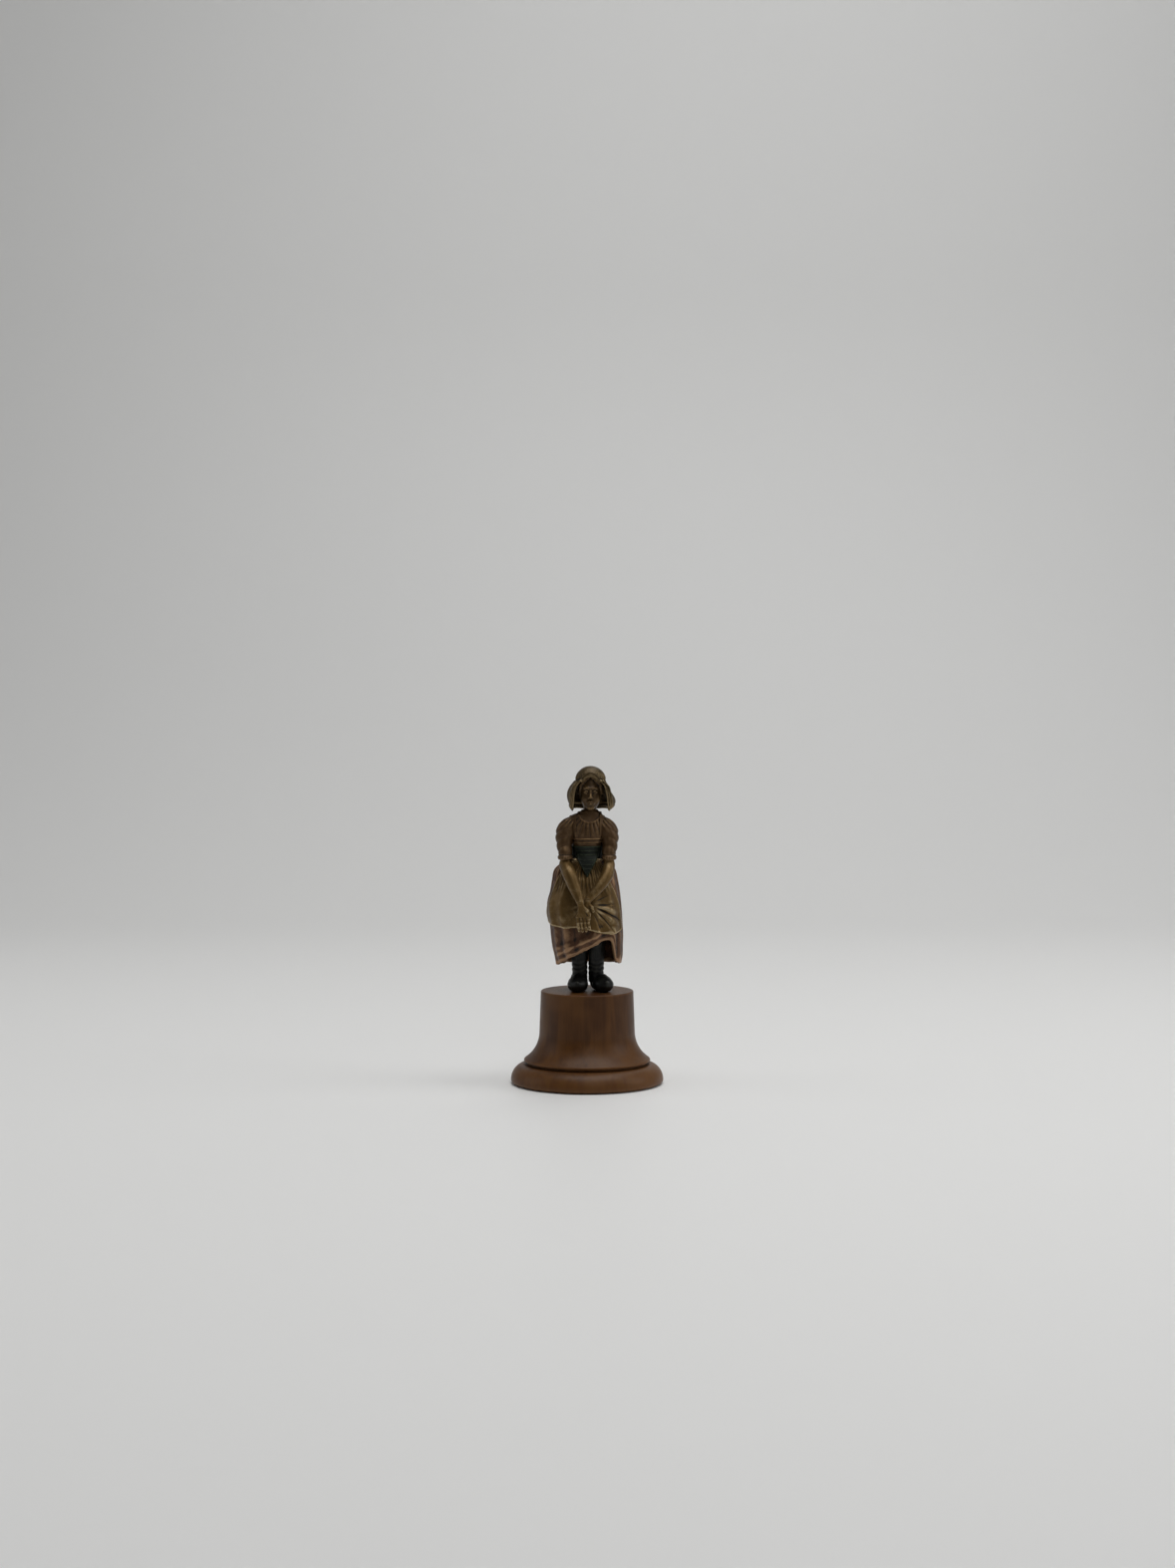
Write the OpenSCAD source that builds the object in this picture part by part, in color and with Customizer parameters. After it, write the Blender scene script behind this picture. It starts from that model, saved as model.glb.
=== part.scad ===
// Small bronze figurine: a girl in a winged bonnet, standing on a turned wooden base.
// The castings meet at flat seats, sockets and dowels, and two studs hold the figure down.
// +Z is up, the girl faces -Y, and the origin is the centre of the underside. Millimetres.

/* [Base] */
// Height of the face that the clogs stand on
base_h = 32.2; // [30:0.2:36]
// Radius of the foot at its widest
foot_r = 26.5; // [25.5:0.5:29]
// Radius of the plinth at its top edge
plinth_r = 16.1; // [15.5:0.1:17]
// Thickness of the felt pad
felt_t = 1; // [0.8:0.1:1.4]

/* [Figure] */
// Height of the girl, from her soles to the top of her bonnet
figure_h = 78.1; // [74:0.1:82]
// Wall of the hollow skirt casting
skirt_wall = 1.2; // [1:0.1:1.5]
// Thickness of the apron casting
apron_t = 0.7; // [0.5:0.1:0.9]
// Wall of the bonnet casting
bonnet_wall = 0.8; // [0.6:0.1:1]

/* [Fasteners] */
// Radius of the two studs in the clogs
stud_r = 1; // [0.8:0.1:1.1]
// Width of a stud nut across its flats
nut_af = 4; // [3.6:0.1:4.2]
// Radius of the waist screw's shank
waist_screw_r = 1.5; // [1.2:0.1:1.6]

/* [Hidden] */

wood_colour = [0.36, 0.23, 0.14];
bronze_colour = [0.42, 0.33, 0.22];
olive_colour = [0.45, 0.38, 0.22];
bodice_colour = [0.12, 0.15, 0.10];
black_colour = [0.09, 0.09, 0.08];
steel_colour = [0.62, 0.62, 0.60];
brass_colour = [0.72, 0.56, 0.28];
felt_colour = [0.10, 0.22, 0.14];

round_fn = 96;
hole_fn = 32;
slip = 0.03;                        // radial clearance of a dowel or stud in its hole
lay = 0.02;                         // clearance under a piece that lies on another
k = figure_h / 78.1;                // size of the figure against its drawn height

// Base
foot_clear = 0.3;                   // the foot's underside stands this far above the floor
foot_top_z = 6.75;                  // where the plinth rests on the foot
lip_r = foot_r - 4.6;               // the plinth's lower lip
lip_z = [7.5, 8.66];                // underside and top of that lip
flare_top_z = base_h - 14.2;        // where the drum begins to flare
felt_r = foot_r - 2.6;

// Studs, from the nuts under the foot up into the clogs
nut_t = 1.6;
washer_t = 0.4;
washer_r = 2.5;
nut_room_r = 3.1;                   // counterbore in the foot
nut_room_top_z = felt_t + 2.6;
stud_top = 3;                       // how far a stud stands in its clog

// Figure, in heights above the soles, at the drawn size
clog_x = [-2.95, 4.75];             // right clog, left clog
clog_y = -1.2;
clog_splay = [-0.05, 0.23];         // how far each clog's line leans outwards, per mm towards the toe
ankle_x = [-2.8, 3.5];
ankle_y = clog_y + 1.6;
ankle_r = 1.6;                      // spigot of the leg in the clog
ankle_z = 3.8;                      // the leg stands this high in the clog
leg_top_x = 3.8;
hem_low_z = 8;
waist_z = 46;
bridge_z = [36.4, 40.4, waist_z - 1.25];
screw_head = [waist_screw_r + 0.55, 1.8]; // radius and height of the waist screw's head
shoulder_x = 5.9;                   // the flat seats of the sleeves
shoulder_pin = [0.7, -0.1, 55.4];   // radius, y and z of the sleeves' dowels
elbow = [7.7, -4.6, 44.4];            // where the forearm enters the sleeve
neck = [0.9, -0.4, 61.8];           // seat of the neck on the torso
neck_pin_r = 0.8;
head_x = 1.2;

function unit(v) = v / norm(v);
function mix(a, b, t) = a + (b - a) * t;
function cubic(a, b, c, d, u) =
    b + 0.5 * u * (c - a + u * (2 * a - 5 * b + 4 * c - d + u * (3 * (b - c) + d - a)));

// A smooth curve through evenly spaced knots, for t from 0 to 1
function knot(list, i) = list[max(0, min(len(list) - 1, i))];
function spline(list, t) =
    let (n = len(list) - 1,
         s = max(0, min(1, t)) * n,
         i = min(n - 1, floor(s)))
    cubic(knot(list, i - 1), knot(list, i), knot(list, i + 1), knot(list, i + 2), s - i);

// The same for a closed curve, where t = 1 is t = 0 again
function turn_knot(list, i) = let (n = len(list)) list[(i % n + n) % n];
function turn_spline(list, t) =
    let (s = t * len(list), i = floor(s))
    cubic(turn_knot(list, i - 1), turn_knot(list, i), turn_knot(list, i + 1), turn_knot(list, i + 2), s - i);

// A level oval, with its own depths in front of and behind its centre
function level_ring(z, cx, cy, half, front, back, n) =
    [for (i = [0 : n - 1])
        let (q = 360 * i / n)
        [cx + half * cos(q), cy + (sin(q) < 0 ? front : back) * sin(q), z]];

// A round ring square to a path
function hoop(centre, along, r, n) =
    let (side = unit(cross([0, 1, 0], along)), up = cross(along, side))
    [for (i = [0 : n - 1]) centre + r * cos(360 * i / n) * side + r * sin(360 * i / n) * up];

// Skin over a stack of rings: capped at both ends, or closed round from the last to the first
module skin(rings, loop = false) {
    n = len(rings[0]);
    m = len(rings);
    walls = [for (j = [0 : m - (loop ? 1 : 2)], i = [0 : n - 1])
        let (a = j * n + i,
             b = j * n + (i + 1) % n,
             c = (j + 1) % m * n + (i + 1) % n,
             d = (j + 1) % m * n + i)
        each [[a, c, b], [a, d, c]]];
    caps = loop ? [] : [for (i = [0 : n - 1])
        each [[m * n, i, (i + 1) % n],
              [m * n + 1, (m - 1) * n + (i + 1) % n, (m - 1) * n + i]]];
    middles = loop ? [] : [for (ring = [rings[0], rings[m - 1]]) [for (p = ring) 1 / n] * ring];
    polyhedron(points = concat([for (ring = rings) each ring], middles), faces = concat(walls, caps));
}

// A limb: round rings along a smooth path, with radii that follow a smooth curve too
module limb(path, radii, sides = 16, steps = 12) {
    e = 0.01;
    skin([for (j = [0 : steps])
        let (t = j / steps)
        hoop(spline(path, t), unit(spline(path, t + e) - spline(path, t - e)), spline(radii, t), sides)]);
}

// Balls joined two by two, as for a finger
module chain(points, radii, fn = 12) {
    for (i = [0 : len(points) - 2])
        hull() {
            translate(points[i]) sphere(r = radii[i], $fn = fn);
            translate(points[i + 1]) sphere(r = radii[i + 1], $fn = fn);
        }
}

module on_base() {
    translate([0, 0, base_h]) scale(k) children();
}

module at_studs(z) {
    for (x = clog_x) translate([x * k, clog_y * k, z]) children();
}

// ---- Base ----

function arc(centre, r, from, to, steps) =
    [for (i = [0 : steps]) let (q = mix(from, to, i / steps)) centre + r * [cos(q), sin(q)]];

module plinth() {
    edge = 0.35;                    // rounding of the top edge
    drum_r = plinth_r + 0.5;
    drop = flare_top_z - lip_z[1];
    flare = lip_r - 0.3 - drum_r;
    flare_r = (flare * flare + drop * drop) / (2 * flare);
    lip_half = (lip_z[1] - lip_z[0]) / 2;
    color(wood_colour) difference() {
        rotate_extrude($fn = round_fn) polygon(concat(
            [[0, foot_top_z], [lip_r - 1, foot_top_z], [lip_r - 1, lip_z[0]]],
            arc([lip_r - 0.5, lip_z[0] + lip_half], lip_half, -80, 60, 6),
            [for (i = [12 : -1 : 0])
                let (q = asin(drop / flare_r) * i / 12)
                [drum_r + flare_r * (1 - cos(q)), flare_top_z - flare_r * sin(q)]],
            arc([plinth_r - edge, base_h - edge], edge, 0, 90, 4),
            [[0, base_h]]
        ));
        at_studs(0) cylinder(r = stud_r + 0.1, h = base_h + 1, $fn = hole_fn);
    }
}

module foot() {
    round_w = 5;                    // width of the quarter-round
    belly_z = 1.3;                  // height of its widest line
    color(wood_colour) difference() {
        rotate_extrude($fn = round_fn) polygon(concat(
            [[0, foot_clear]],
            arc([foot_r - 1, belly_z], 1, -90, 0, 6),
            [for (i = [1 : 14])
                let (q = 90 * i / 14)
                [foot_r - round_w + round_w * cos(q), belly_z + (foot_top_z - belly_z) * sin(q)]],
            [[0, foot_top_z]]
        ));
        translate([0, 0, -1]) cylinder(r = felt_r + 0.1, h = felt_t + 1, $fn = round_fn);
        at_studs(0) cylinder(r = nut_room_r, h = nut_room_top_z, $fn = 48);
        at_studs(0) cylinder(r = stud_r + 0.1, h = foot_top_z + 1, $fn = hole_fn);
    }
}

module felt_pad() {
    color(felt_colour) cylinder(r = felt_r, h = felt_t, $fn = round_fn);
}

// ---- Fasteners ----

module foot_studs() {
    low = nut_room_top_z - washer_t - nut_t - 0.4;
    color(brass_colour) at_studs(low) cylinder(r = stud_r, h = base_h + stud_top - low, $fn = hole_fn);
}

module stud_washers() {
    color(steel_colour) at_studs(nut_room_top_z - washer_t) difference() {
        cylinder(r = washer_r, h = washer_t, $fn = 48);
        translate([0, 0, -1]) cylinder(r = stud_r + 0.1, h = washer_t + 2, $fn = hole_fn);
    }
}

module stud_nuts() {
    color(brass_colour) at_studs(nut_room_top_z - washer_t - nut_t) difference() {
        cylinder(r = nut_af / sqrt(3), h = nut_t, $fn = 6);
        translate([0, 0, -1]) cylinder(r = stud_r + slip, h = nut_t + 2, $fn = hole_fn);
    }
}

// The screw comes up through the leg bridge and the skirt's top into the torso
module waist_screw() {
    z = base_h + bridge_z[0] * k + 0.1;
    color(steel_colour) {
        translate([0, 0, z]) cylinder(r = screw_head[0], h = screw_head[1], $fn = 48);
        translate([0, 0, z]) cylinder(r = waist_screw_r, h = base_h + (waist_z + 4) * k - z, $fn = hole_fn);
    }
}

module shoulder_pins() {
    length = 3.6;
    color(steel_colour) on_base() for (side = [-1, 1])
        translate([side * (shoulder_x - length / 2), shoulder_pin[1], shoulder_pin[2]])
            rotate([0, side * 90, 0]) cylinder(r = shoulder_pin[0], h = length, $fn = 24);
}

module neck_pin() {
    length = 7;
    color(steel_colour) on_base() translate([neck[0], neck[1], neck[2] - length / 2])
        cylinder(r = neck_pin_r, h = length, $fn = 24);
}

// ---- Legs ----

// Sections from heel to toe: [y, half-width, height]
clog_sections = [
    [6.2, 1, 2.6], [5.4, 2.5, 5], [3.2, 3, 5.6], [0.6, 3.2, 5.6],
    [-2.2, 3.6, 5.2], [-4.8, 3.6, 4.7], [-6.8, 2.7, 4.2], [-7.9, 0.9, 3.2]
];

// A section of a clog: an oval with fuller sides, flat on the ground
function clog_ring(s, i) =
    [for (a = [0 : 15])
        let (q = 360 * a / 16, side = sign(cos(q)) * pow(abs(cos(q)), 0.8))
        [clog_x[i] - clog_splay[i] * s[0] - s[1] * side, clog_y + s[0], s[2] * (0.5 + 0.5 * sin(q))]];

module clog(i) {
    steps = 14;
    color(black_colour) difference() {
        on_base() difference() {
            skin([for (j = [0 : steps]) clog_ring(spline(clog_sections, j / steps), i)]);
            translate([ankle_x[i], ankle_y, ankle_z]) cylinder(r = ankle_r + 0.1, h = 6, $fn = 40);
        }
        at_studs(base_h - 1) cylinder(r = stud_r + slip, h = 1 + stud_top + 0.3, $fn = hole_fn);
    }
}

module right_clog() clog(0);
module left_clog() clog(1);

// A stockinged leg, from a round spigot in the clog to a tenon in the leg bridge
module leg(i) {
    foot_x = ankle_x[i];
    top_x = i == 0 ? -leg_top_x : leg_top_x;
    color(black_colour) on_base() {
        limb([[foot_x, ankle_y, 5.9], [mix(foot_x, top_x, 0.1), 0.3, 11], [mix(foot_x, top_x, 0.4), 0.4, 18],
              [mix(foot_x, top_x, 0.8), 0.3, 27], [top_x, 0, bridge_z[0] - 0.2]],
             [2.35, 2.9, 3.1, 3.1, 3]);
        translate([foot_x, ankle_y, ankle_z + lay]) cylinder(r = ankle_r, h = 3, $fn = hole_fn);
        translate([top_x, 0, bridge_z[0] - 1]) cylinder(r = 1.4, h = 4, $fn = hole_fn);
    }
}

module right_leg() leg(0);
module left_leg() leg(1);

// The casting inside the skirt that joins both legs to the torso
module leg_bridge() {
    stem_r = 2.6;
    color(bronze_colour) difference() {
        on_base() difference() {
            union() {
                translate([-5.6, -2.2, bridge_z[0] + lay]) cube([11.2, 5.4, bridge_z[1] - bridge_z[0]]);
                translate([0, 0, bridge_z[0] + 1])
                    cylinder(r = stem_r, h = bridge_z[2] - bridge_z[0] - 1, $fn = 48);
            }
            for (x = [-leg_top_x, leg_top_x])
                translate([x, 0, bridge_z[0] - 1]) cylinder(r = 1.4 + slip, h = 4.1, $fn = hole_fn);
        }
        translate([0, 0, base_h + bridge_z[0] * k - 1]) {
            cylinder(r = waist_screw_r + slip, h = 20, $fn = hole_fn);
            cylinder(r = screw_head[0] + slip, h = screw_head[1] + 1.1, $fn = 48);
        }
    }
}

// ---- Skirt and apron ----

// Sections at even heights from hem_low_z to waist_z: [centre x, centre y, half-width, front, back]
skirt_sections = [
    [0.4, 0.5, 10.8, 9, 9.3], [0.5, 0.5, 11.5, 9.7, 10.2], [0.1, 0.5, 12, 10.1, 10.8],
    [-0.1, 0.6, 12.3, 10.4, 11], [-0.4, 0.8, 12.4, 10.4, 11], [-0.9, 1, 12.7, 10.2, 10.8],
    [-1.1, 1.3, 12.6, 9.7, 10.3], [-0.8, 1.7, 11.9, 9, 9.6], [-0.8, 2.1, 11.2, 8.3, 8.6],
    [-0.8, 3, 10.2, 7.6, 6.9], [-0.2, 1.4, 6.8, 5.9, 5]
];
skirt_turns = 60;

// Height of the hem at even turns, from her left side by way of her back.
// It is level there and at her right side, and in front it climbs to a peak by her left foot.
hem_heights = [
    9.8, 9.6, 9.5, 9.4, 9.3, 9.3, 9.3, 9.3, 9.3, 9.3, 9.2, 9.2,
    9.2, 9.6, 10.4, 11.4, 12.6, 14, 15.4, 16.9, 18.4, 17.6, 11.4, 10
];

function skirt_fold(q, low) =
    0.3 * low * cos(9 * q + 50 * low) + 0.2 * cos(14 * q - 80 * low);

function skirt_point(q, z, out) =
    let (v = (z - hem_low_z) / (waist_z - hem_low_z),
         s = spline(skirt_sections, v),
         r = out + skirt_fold(q, 1 - v))
    [s[0] + (s[2] + r) * cos(q), s[1] + (sin(q) < 0 ? s[3] + r : s[4] + r) * sin(q), z];

function skirt_ring(v, out, top) =
    [for (i = [0 : skirt_turns - 1])
        let (t = i / skirt_turns)
        skirt_point(360 * t, mix(turn_spline(hem_heights, t), top, v), out)];

module skirt() {
    steps = 14;
    hole_r = waist_screw_r / k + 0.5;
    inside_top = waist_z - skirt_wall;
    color(bronze_colour) on_base() skin(concat(
        [for (j = [0 : steps]) skirt_ring(j / steps, 0, waist_z)],
        [level_ring(waist_z, 0, 0, hole_r, hole_r, hole_r, skirt_turns)],
        [level_ring(inside_top, 0, 0, hole_r, hole_r, hole_r, skirt_turns)],
        [for (j = [steps : -1 : 0]) skirt_ring(j / steps, -skirt_wall, inside_top)]
    ), loop = true);
}

// The apron's lower edge, from her right side by way of her front to her left side
apron_gap = 0.6;
apron_turns = [184, 348];
apron_edge = [24.6, 23.5, 23, 22.7, 22.5, 22.8, 22.6, 21.6, 20.8, 20.4, 20.6, 21.8, 24.5];

module apron() {
    turns = 36;
    steps = 12;
    top = waist_z - 5.5;
    middle = 266;                   // the turn towards which it gathers at the waist
    function strip(q, edge, out) =
        [for (j = [0 : steps])
            let (v = j / steps)
            skirt_point(mix(q, middle, 0.55 * v), mix(edge, top, v), out)];
    color(olive_colour) on_base() skin([for (i = [0 : turns])
        let (t = i / turns,
             q = mix(apron_turns[0], apron_turns[1], t),
             edge = spline(apron_edge, t),
             lift = apron_gap + 0.4 * pow(abs(2 * t - 1), 6),
             inside = strip(q, edge, lift),
             outside = strip(q, edge, lift + apron_t))
        [each inside, for (j = [steps : -1 : 0]) outside[j]]]);
}

// ---- Body ----

// Sections from the waist to the seat of the neck: [z, centre x, centre y, half-width, front, back]
torso_sections = [
    [waist_z + lay, 0, 0.4, 5, 4.2, 4.5], [48.2, 0, 0.3, 5, 4.3, 4.5], [50.4, 0.1, 0.1, 5.1, 4.8, 4.8],
    [52.8, 0.2, 0, 5.3, 5.1, 5.2], [55.2, 0.2, -0.1, 6.2, 5.1, 5.5], [57.6, 0.2, -0.2, 6.4, 4.6, 5.2],
    [59.6, 0.1, -0.3, 6.3, 3.8, 4.3], [60.8, 0, -0.4, 5.7, 3.2, 3.4],
    [neck[2] - lay, neck[0], neck[1], 3.9, 2.9, 3]
];
torso_steps = 20;

function torso_ring(j, out) =
    let (s = spline(torso_sections, j / torso_steps))
    [for (p = level_ring(s[0], s[1], s[2], s[3] + out, s[4] + out, s[5] + out, 36))
        [max(-shoulder_x, min(shoulder_x, p[0])), p[1], p[2]]];

module shoulder_pin_holes() {
    for (side = [-1, 1])
        translate([side * (shoulder_x - 2), shoulder_pin[1], shoulder_pin[2]])
            rotate([0, side * 90, 0]) cylinder(r = shoulder_pin[0] + slip, h = 4, $fn = 24);
}

module torso() {
    color(bronze_colour) difference() {
        on_base() difference() {
            skin([for (j = [0 : torso_steps]) torso_ring(j, 0)]);
            shoulder_pin_holes();
            translate([neck[0], neck[1], neck[2] - 3.6]) cylinder(r = neck_pin_r + slip, h = 5, $fn = 24);
        }
        translate([0, 0, base_h + (waist_z - 1) * k])
            cylinder(r = waist_screw_r + slip, h = 5.2 * k, $fn = hole_fn);
    }
}

// A garment that lies round the torso, over some of its rings
module wrap(from, to, thick) {
    skin(concat(
        [for (j = [from : to]) torso_ring(j, thick)],
        [for (j = [to : -1 : from]) torso_ring(j, lay)]
    ), loop = true);
}

// The point of the bodice, over the top of the skirt: [z, half-width, y of its front]
point_sections = [
    [47.4, 3.9, -4.8], [46.2, 3.5, -5.15], [44.5, 2.6, -5.6], [42.8, 1.5, -5.85], [41.3, 0.5, -6.2]
];

module bodice() {
    thick = 0.5;
    color(bodice_colour) on_base() {
        wrap(0, 5, thick);
        skin([for (j = [len(point_sections) - 1 : -1 : 0])
            let (s = point_sections[j], y = s[2])
            [[-s[1], y, s[0]], [s[1], y, s[0]], [s[1], y + thick, s[0]], [-s[1], y + thick, s[0]]]]);
    }
}

module chest_band() {
    color(bronze_colour) on_base() wrap(6, 8, 0.6);
}

// Sections of her left sleeve, from the cuff up: [z, centre x, centre y, half-width, half-depth]
sleeve_sections = [
    [45.8, elbow[0], elbow[1], 2.2, 2.4], [48.4, 7.6, -3.2, 2.5, 2.8], [51.4, 7.9, -1.9, 2.75, 3.2],
    [54.2, 7.4, -0.8, 3.5, 3.8], [57, 6.6, -0.4, 3.7, 3.6], [59.4, 5.2, -0.3, 3, 2.7],
    [60.5, 4.7, -0.3, 1.4, 1.2]
];

module sleeve(side) {
    steps = 16;
    color(bronze_colour) on_base() difference() {
        intersection() {
            skin([for (j = [0 : steps])
                let (s = spline(sleeve_sections, j / steps))
                level_ring(s[0], side * s[1], s[2], s[3], s[4], s[4], 24)]);
            translate([side > 0 ? shoulder_x + lay : -shoulder_x - lay - 10, -10, 40]) cube([10, 20, 30]);
        }
        shoulder_pin_holes();
        translate([side * elbow[0], elbow[1], elbow[2] - 1]) cylinder(r = 1.25, h = 5, $fn = 24);
    }
}

module right_sleeve() sleeve(-1);
module left_sleeve() sleeve(1);

// ---- Arms ----

// Paths of the forearms, from the elbow to the wrist; her right wrist passes in front
right_forearm = [[-elbow[0], elbow[1], elbow[2] - 0.7],
    [-6.1, -8.4, 41.1], [-4, -11, 36.1], [-2.3, -13.2, 31.6]];
left_forearm = [[elbow[0], elbow[1], elbow[2] - 0.7],
    [6.95, -7.6, 40.4], [3.7, -10.1, 36.1], [0.4, -11.2, 32.4]];

module forearm(path, radii) {
    limb(path, radii, sides = 16, steps = 10);
    translate([path[0][0], elbow[1], elbow[2] - 1.2]) cylinder(r = 1.2, h = 4.9, $fn = 24);
}

// A hand that hangs down: palm, four fingers fanned from the knuckles, and a thumb
module hand(wrist, knuckle, lean, thumb) {
    hull() {
        translate(wrist) sphere(r = 1.05, $fn = 16);
        for (s = [-1, 1]) translate(knuckle + [1.5 * s, 0, 0]) sphere(r = 0.65, $fn = 12);
    }
    for (i = [0 : 3]) {
        root = knuckle + [mix(-1.65, 1.65, i / 3), 0, 0];
        tip = root + [lean + 0.15 * (i - 1.5), 0.3, i == 3 ? -4.1 : -4.9];
        chain([root, mix(root, tip, 0.5) + [0, -0.3, 0], tip], [0.6, 0.55, 0.45]);
    }
    chain([mix(wrist, knuckle, 0.2), thumb], [0.7, 0.5]);
}

module right_arm() {
    color(bronze_colour) on_base() {
        forearm(right_forearm, [2, 2.3, 2, 1.15]);
        hand([-2.2, -13.3, 31.2], [-1.6, -13.9, 27], 0.7, [0.6, -13.8, 27.6]);
    }
}

module left_arm() {
    color(bronze_colour) on_base() {
        forearm(left_forearm, [1.9, 2, 1.7, 1.15]);
        hand([0.1, -11.3, 32], [-0.9, -11.9, 28], -0.5, [2, -11.9, 29]);
    }
}

// ---- Head and bonnet ----

// Sections from the chin up: [z, centre y, half-width, front, back]
head_sections = [
    [62.6, -2.4, 1.5, 2.6, 2], [64.4, -2, 3, 3.6, 4.2], [66.6, -1.7, 3.7, 3.9, 5], [68.8, -1.5, 4, 4, 5],
    [71, -1.3, 4.1, 3.9, 4.7], [73.2, -1.1, 3.8, 3.8, 4.1], [75, -1, 3, 3, 3.2], [76.2, -1, 1.6, 1.6, 1.7],
    [76.6, -1, 0.5, 0.5, 0.5]
];

module head() {
    color(bronze_colour) on_base() difference() {
        union() {
            skin([for (j = [0 : 18])
                let (s = spline(head_sections, j / 18))
                level_ring(s[0], head_x, s[1], s[2], s[3], s[4], 28)]);
            translate([neck[0], neck[1], neck[2]]) cylinder(r = 2.3, h = 4, $fn = 40);
        }
        translate([neck[0], neck[1], neck[2] - 1]) cylinder(r = neck_pin_r + slip, h = 4.6, $fn = 24);
    }
}

// The bonnet's free edge at even turns from her left side by way of her back: [radius, height]
brim = [
    [6.8, 63.4], [6.9, 63.5], [6.9, 63.6], [6.6, 63.4], [6.5, 63.3], [6.6, 63.4], [6.8, 63.6], [6.8, 63.5],
    [6.6, 63.4], [6.9, 63.6], [7.4, 69.6], [6.5, 74], [5.7, 74.8], [6.5, 74], [7.4, 69.6], [7, 63.6]
];
crown = [5.2, 73.3, 78.1];          // radius and height of the dome's foot, and top
crown_side = 0.6;                   // share of the rings on the sides, below the dome
crown_drop = 10;                    // height over which those rings are ruled
crown_deep = 1.12;                  // depth of the back against its width
bell_side = 2.3;                    // how far the sides bulge
bell_back = 1;                      // how far the back bulges

// From the brim (v = 0) over the sides and the dome to the top (v = 1)
function bonnet_point(q, v, inset) =
    let (edge = turn_spline(brim, q / 360),
         below = crown[1] - edge[1],
         up = max(0, min(1, -below / (crown[2] - crown[1]))),
         start = below > 0 ? crown_side * (1 - below / crown_drop)
                           : crown_side + (1 - crown_side) * asin(up) / 90,
         w = mix(start, 1, v),
         drop = crown_drop * max(0, 1 - w / crown_side),
         dome = 90 * max(0, (w - crown_side) / (1 - crown_side)),
         reach = min(1, drop / max(0.01, below)),
         bell = (bell_side * pow(cos(q), 2) + bell_back * pow(max(sin(q), 0), 2))
                * sin(180 * pow(reach, 1.45 + 0.55 * cos(q))),
         radius = mix(crown[0] * cos(dome), edge[0], reach) + (bell - inset) * cos(dome),
         height = crown[1] - drop + (crown[2] - crown[1] - inset) * sin(dome))
    [head_x + radius * cos(q), -1 + radius * (sin(q) > 0 ? crown_deep : 1) * sin(q), height];

module bonnet() {
    turns = 56;
    steps = 13;
    pole = 0.985;                   // the last ring closes the dome this near its top
    function level(j, inset) =
        [for (i = [0 : turns - 1]) bonnet_point(360 * i / turns, pole * j / steps, inset)];
    below = [for (p = level(0, bonnet_wall)) p - [0, 0, 6]];
    color(olive_colour) on_base() difference() {
        skin([for (j = [0 : steps]) level(j, 0)]);
        skin([below, for (j = [0 : steps]) level(j, bonnet_wall)]);
    }
}

plinth();
foot();
felt_pad();
foot_studs();
stud_washers();
stud_nuts();
right_clog();
left_clog();
right_leg();
left_leg();
leg_bridge();
waist_screw();
skirt();
apron();
torso();
bodice();
chest_band();
right_sleeve();
left_sleeve();
shoulder_pins();
right_arm();
left_arm();
head();
neck_pin();
bonnet();
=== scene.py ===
import bpy
import math
import numpy as np
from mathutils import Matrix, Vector


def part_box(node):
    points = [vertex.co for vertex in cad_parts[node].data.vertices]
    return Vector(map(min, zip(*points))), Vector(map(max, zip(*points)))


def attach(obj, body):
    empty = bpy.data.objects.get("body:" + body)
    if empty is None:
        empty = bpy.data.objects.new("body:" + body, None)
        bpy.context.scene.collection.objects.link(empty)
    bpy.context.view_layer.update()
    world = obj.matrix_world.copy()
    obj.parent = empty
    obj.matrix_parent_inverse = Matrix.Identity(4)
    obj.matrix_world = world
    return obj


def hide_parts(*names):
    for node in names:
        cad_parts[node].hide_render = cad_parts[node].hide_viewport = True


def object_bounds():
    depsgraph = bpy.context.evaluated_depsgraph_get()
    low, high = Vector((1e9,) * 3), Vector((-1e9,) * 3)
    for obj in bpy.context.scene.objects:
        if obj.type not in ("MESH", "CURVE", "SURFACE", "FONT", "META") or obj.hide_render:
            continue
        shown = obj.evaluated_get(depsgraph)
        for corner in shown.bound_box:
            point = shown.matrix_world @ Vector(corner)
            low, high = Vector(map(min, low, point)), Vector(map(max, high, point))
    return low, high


# A small patinated bronze: a girl in a winged bonnet, apron and clogs, on a turned wooden base.
# The base is drawn in millimetres above its felt. The girl is drawn in millimetres above her soles,
# with +X on her left side and -Y in front of her.

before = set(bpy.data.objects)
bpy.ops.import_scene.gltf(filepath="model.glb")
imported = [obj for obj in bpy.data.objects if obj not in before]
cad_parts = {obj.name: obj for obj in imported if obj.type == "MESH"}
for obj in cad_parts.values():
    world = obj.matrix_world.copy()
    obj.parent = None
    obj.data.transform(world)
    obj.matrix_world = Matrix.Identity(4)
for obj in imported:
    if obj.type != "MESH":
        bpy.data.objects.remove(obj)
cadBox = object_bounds()

mm = 0.001
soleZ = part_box("plinth")[1][2] / mm
drawnHeight = 78.1
figureScale = (cadBox[1][2] / mm - soleZ) / drawnHeight


def array(*values):
    return np.array(values, float)


def mix(a, b, t):
    return a + (b - a) * t


def smooth(t):
    t = np.clip(t, 0, 1)
    return t * t * (3 - 2 * t)


def hump(d, width):
    return np.exp(-(d / width) ** 2)


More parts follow.
